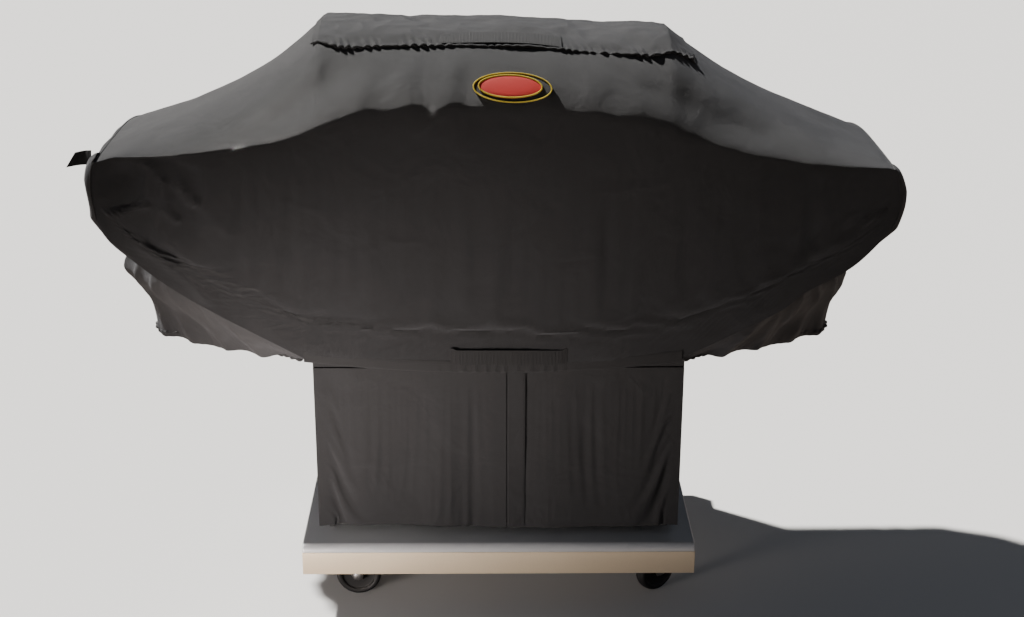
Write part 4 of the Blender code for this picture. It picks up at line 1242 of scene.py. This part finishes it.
placket = clothGrid("skirtPlacket", 18, 90, (0.034, 0.334), placketPoint)
thickSheet(placket, placketPiece["thickness"])
finishPiece(placket, fabric, "skirt_right", ["skirt_placket"])
stitchPiece("placketStitches", [
    (lambda t: placketPoint(0.12, 0.02 + 0.96 * t) + onCloth, 0.32, outward),
    (lambda t: placketPoint(0.88, 0.02 + 0.96 * t) + onCloth, 0.32, outward),
], "skirt_right")

# ---- cart: the CAD's solids with worked edges ----

edgeWidths = {
    "front_fascia": 0.0012, "base_end_left": 0.0006, "base_end_right": 0.0006, "base_rear_rail": 0.0010,
    "cabinet_side_left": 0.0006, "cabinet_side_right": 0.0006, "cabinet_back": 0.0006,
    "door_left": 0.0010, "door_right": 0.0010, "firebox": 0.0012, "control_panel": 0.0015, "lid": 0.0012,
    "side_shelf_left": 0.0010, "side_shelf_right": 0.0010,
    "shelf_bracket_left": 0.0012, "shelf_bracket_right": 0.0012,
    "door_handle_left": 0.0, "door_handle_right": 0.0, "lid_handle": 0.0,
}


def bodyOf(node):
    return frame["nodes"][node]["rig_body"]


def slotOf(node):
    for row in frame["record"]["subparts"]:
        if row["node"] == node:
            return row["material_slot"]
    return "steel"


def plainName(node):
    words = node.split("_")
    return words[0] + "".join(word.title() for word in words[1:]) + "Shell"


def workedCopy(node, width, segments=3, degrees=60):
    source = frame["nodes"][node]
    piece = source.copy()
    piece.data = source.data.copy()
    piece.name = plainName(node)
    for key in list(piece.keys()):
        del piece[key]
    piece.parent = None
    bpy.context.scene.collection.objects.link(piece)
    piece.hide_render = piece.hide_viewport = False
    mergeDoubles(piece, 0.00002)
    pick(piece)
    bpy.ops.object.mode_set(mode="EDIT")
    bpy.ops.mesh.select_all(action="SELECT")
    bpy.ops.mesh.dissolve_limited(angle_limit=math.radians(1))
    bpy.ops.object.mode_set(mode="OBJECT")
    if width:
        addModifier(piece, "BEVEL", width=width, segments=segments, limit_method="ANGLE",
                    angle_limit=math.radians(degrees), use_clamp_overlap=True)
        applyModifiers(piece)
    shadeSmooth(piece, 42)
    return piece


for node, width in edgeWidths.items():
    copied = workedCopy(node, width)
    finishPiece(copied, finishes[slotOf(node)], bodyOf(node), [node])

# the deck is folded sheet: a rounded front edge and rounded ends
deck = {"roll": 0.014, "end": 0.0035, "sheet": 0.0018}
low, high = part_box("base_deck")
deselectAll()
bpy.ops.mesh.primitive_cube_add(size=1, location=(low + high) / 2, scale=high - low)
deckShell = bpy.context.object
deckShell.name = "baseDeckShell"
bpy.ops.object.transform_apply(location=True, rotation=False, scale=True)
work = bmesh.new()
work.from_mesh(deckShell.data)
for face in list(work.faces):
    if face.normal.z < -0.9 or face.normal.y > 0.9:
        work.faces.remove(face)
frontTop = [e for e in work.edges
            if all(v.co.z > high.z - 0.001 and v.co.y < low.y + 0.001 for v in e.verts)]
bmesh.ops.bevel(work, geom=frontTop, offset=deck["roll"], segments=12, profile=0.5, affect="EDGES")
sideEdges = [e for e in work.edges if len(e.link_faces) == 2
             and sum(abs(f.normal.x) > 0.9 for f in e.link_faces) == 1]
bmesh.ops.bevel(work, geom=sideEdges, offset=deck["end"], segments=4, profile=0.5, affect="EDGES")
work.to_mesh(deckShell.data)
work.free()
addModifier(deckShell, "SOLIDIFY", thickness=deck["sheet"], offset=-1.0)
applyModifiers(deckShell)
shadeSmooth(deckShell, 30)
finishPiece(deckShell, finishes["base_metal"], "cart", ["base_deck"])
print("cart finished")

# ---- casters ----

wheelSteps = 72


def turnedTo(middle, axis):
    # takes a piece made upright at the origin to its place, upright axis along the given one
    return Matrix.Translation(middle) @ Vector((0, 0, 1)).rotation_difference(axis).to_matrix().to_4x4()


def wheelPiece(name, node, body):
    low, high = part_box(node)
    source = frame["nodes"][node]
    middle = (low + high) / 2
    radius = (high.z - low.z) / 2
    # the axle line is the direction in which the wheel is thinnest
    points = [Vector((v.co.x - middle.x, v.co.y - middle.y)) for v in source.data.vertices]
    best = min(range(0, 180), key=lambda d: max(
        abs(p.x * math.cos(math.radians(d)) + p.y * math.sin(math.radians(d))) for p in points))
    axis = Vector((math.cos(math.radians(best)), math.sin(math.radians(best)), 0))
    half = max(abs(p.x * axis.x + p.y * axis.y) for p in points)
    profile = [
        (0.0052, half * 0.92), (0.0120, half * 0.92), (0.0140, half * 0.80), (0.0155, half * 0.52),
        (radius - 0.0150, half * 0.48), (radius - 0.0125, half * 0.55), (radius - 0.0110, half * 0.86),
        (radius - 0.0085, half * 0.98), (radius - 0.0050, half * 0.97), (radius - 0.0022, half * 0.80),
        (radius - 0.0006, half * 0.50), (radius, half * 0.16),
    ]
    outline = profile + [(r, -y) for r, y in reversed(profile)]
    mesh = bpy.data.meshes.new(name)
    edges = [(i, (i + 1) % len(outline)) for i in range(len(outline))]
    mesh.from_pydata([(r, 0, y) for r, y in outline], edges, [])
    piece = addObject(name, mesh)
    addModifier(piece, "SCREW", steps=wheelSteps, render_steps=wheelSteps,
                use_merge_vertices=True, merge_threshold=0.0001)
    applyModifiers(piece)
    piece.data.transform(turnedTo(middle, axis))
    mergeDoubles(piece, 0.00002)
    shadeSmooth(piece, 35)
    finishPiece(piece, finishes["wheel_rubber"], body, [node])
    return middle, axis


def boltPiece(name, node, body, middle, axis):
    reach = max(abs((v.co - middle).dot(axis)) for v in frame["nodes"][node].data.vertices)
    work = bmesh.new()
    parts = (
        (0.0044, 2 * reach - 0.004, 0.0, 24), (0.0080, 0.0032, reach - 0.0022, 6),
        (0.0080, 0.0032, -(reach - 0.0022), 6), (0.0098, 0.0008, reach - 0.0044, 28),
        (0.0098, 0.0008, -(reach - 0.0044), 28),
    )
    for radius, depth, at, sides in parts:
        made = bmesh.ops.create_cone(work, cap_ends=True, segments=sides,
                                     radius1=radius, radius2=radius, depth=depth)
        bmesh.ops.translate(work, vec=(0, 0, at), verts=made["verts"])
    piece = addMesh(name, work)
    addModifier(piece, "BEVEL", width=0.0004, segments=2, limit_method="ANGLE",
                angle_limit=math.radians(50))
    applyModifiers(piece)
    piece.data.transform(turnedTo(middle, axis))
    shadeSmooth(piece, 30)
    return finishPiece(piece, finishes["zinc"], body, [node])


for place in ("fl", "fr", "rl", "rr"):
    start = "caster" + place.title()
    middle, axis = wheelPiece(start + "Wheel", f"caster_{place}_wheel", f"wheel_{place}")
    boltPiece(start + "Bolt", f"caster_{place}_axle", f"caster_{place}", middle, axis)
    for node, width in ((f"caster_{place}_fork", 0.0008), (f"caster_{place}_plate", 0.0006)):
        copied = workedCopy(node, width, 2, 50)
        finishPiece(copied, finishes["zinc"], bodyOf(node), [node])
print("casters made")

# ---- floor, light and camera ----

stageLook = {
    "floor": (0.80, 0.80, 0.79), "bounce": (0.17, 0.14, 0.12),
    "world": (0.80, 0.86, 1.0), "worldStrength": 0.080,
    "keyFrom": (-0.52, 0.34, 0.78), "keyPower": 8.6, "keySoftness": 2.5, "keyColor": (1.0, 0.97, 0.93),
    "fillFrom": (0.6, -3.2, 0.5), "fillAim": (0, 0, 0.6), "fillSize": 2.5,
    "fillPower": 3.0, "fillColor": (1.0, 0.88, 0.78),
    "glowFrom": (-1.00, -1.00, 0.24), "glowAim": (-0.32, -0.25, 0.46), "glowSize": 0.4,
    "glowPower": 4.5, "glowColor": (1.0, 0.90, 0.84), "glowSpread": 62,
}
deselectAll()
bpy.ops.mesh.primitive_plane_add(size=40, location=(0, 0, 0))
floor = bpy.context.object
floor.name = "floor"
floorMaterial, floorTree, floorShader = startMaterial("paleFloor")
seen = addNode(floorTree, "ShaderNodeLightPath").outputs["Is Camera Ray"]
shade = addNode(floorTree, "ShaderNodeMix", data_type="RGBA")
floorTree.links.new(seen, shade.inputs[0])
shade.inputs[6].default_value = (*stageLook["bounce"], 1)
shade.inputs[7].default_value = (*stageLook["floor"], 1)
floorTree.links.new(shade.outputs[2], floorShader.inputs["Base Color"])
floorShader.inputs["Roughness"].default_value = 0.9
floor.data.materials.append(floorMaterial)

world = bpy.data.worlds.new("studio")
bpy.context.scene.world = world
world.use_nodes = True
world.node_tree.nodes["Background"].inputs["Color"].default_value = (*stageLook["world"], 1)
world.node_tree.nodes["Background"].inputs["Strength"].default_value = stageLook["worldStrength"]


def addLamp(name, kind, place, aim, power, color, **settings):
    lamp = bpy.data.lights.new(name, kind)
    lamp.energy = power
    lamp.color = color
    for key, value in settings.items():
        setattr(lamp, key, value)
    holder = addObject(name, lamp)
    holder.location = place
    holder.rotation_euler = (Vector(aim) - Vector(place)).to_track_quat("-Z", "Y").to_euler()


addLamp("keyLight", "SUN", stageLook["keyFrom"], (0, 0, 0), stageLook["keyPower"],
        stageLook["keyColor"], angle=math.radians(stageLook["keySoftness"]))
addLamp("frontFill", "AREA", stageLook["fillFrom"], stageLook["fillAim"], stageLook["fillPower"],
        stageLook["fillColor"], size=stageLook["fillSize"])
addLamp("groundGlow", "AREA", stageLook["glowFrom"], stageLook["glowAim"], stageLook["glowPower"],
        stageLook["glowColor"], size=stageLook["glowSize"],
        spread=math.radians(stageLook["glowSpread"]))

cameraLook = {
    "place": (-0.0175, -3.130, 1.712), "down": 0.3597, "turn": -0.0145, "roll": 0.0034,
    "sensor": 36, "lens": 1660 / 1024 * 36,
}
camera = bpy.data.cameras.new("camera")
camera.sensor_width = cameraLook["sensor"]
camera.lens = cameraLook["lens"]
camera.clip_end = 100
cameraHolder = addObject("camera", camera)
turned = (Matrix.Rotation(cameraLook["turn"], 4, "Z")
          @ Matrix.Rotation(math.pi / 2 - cameraLook["down"], 4, "X")
          @ Matrix.Rotation(cameraLook["roll"], 4, "Z"))
cameraHolder.matrix_world = Matrix.Translation(cameraLook["place"]) @ turned
bpy.context.scene.camera = cameraHolder
print("stage set")
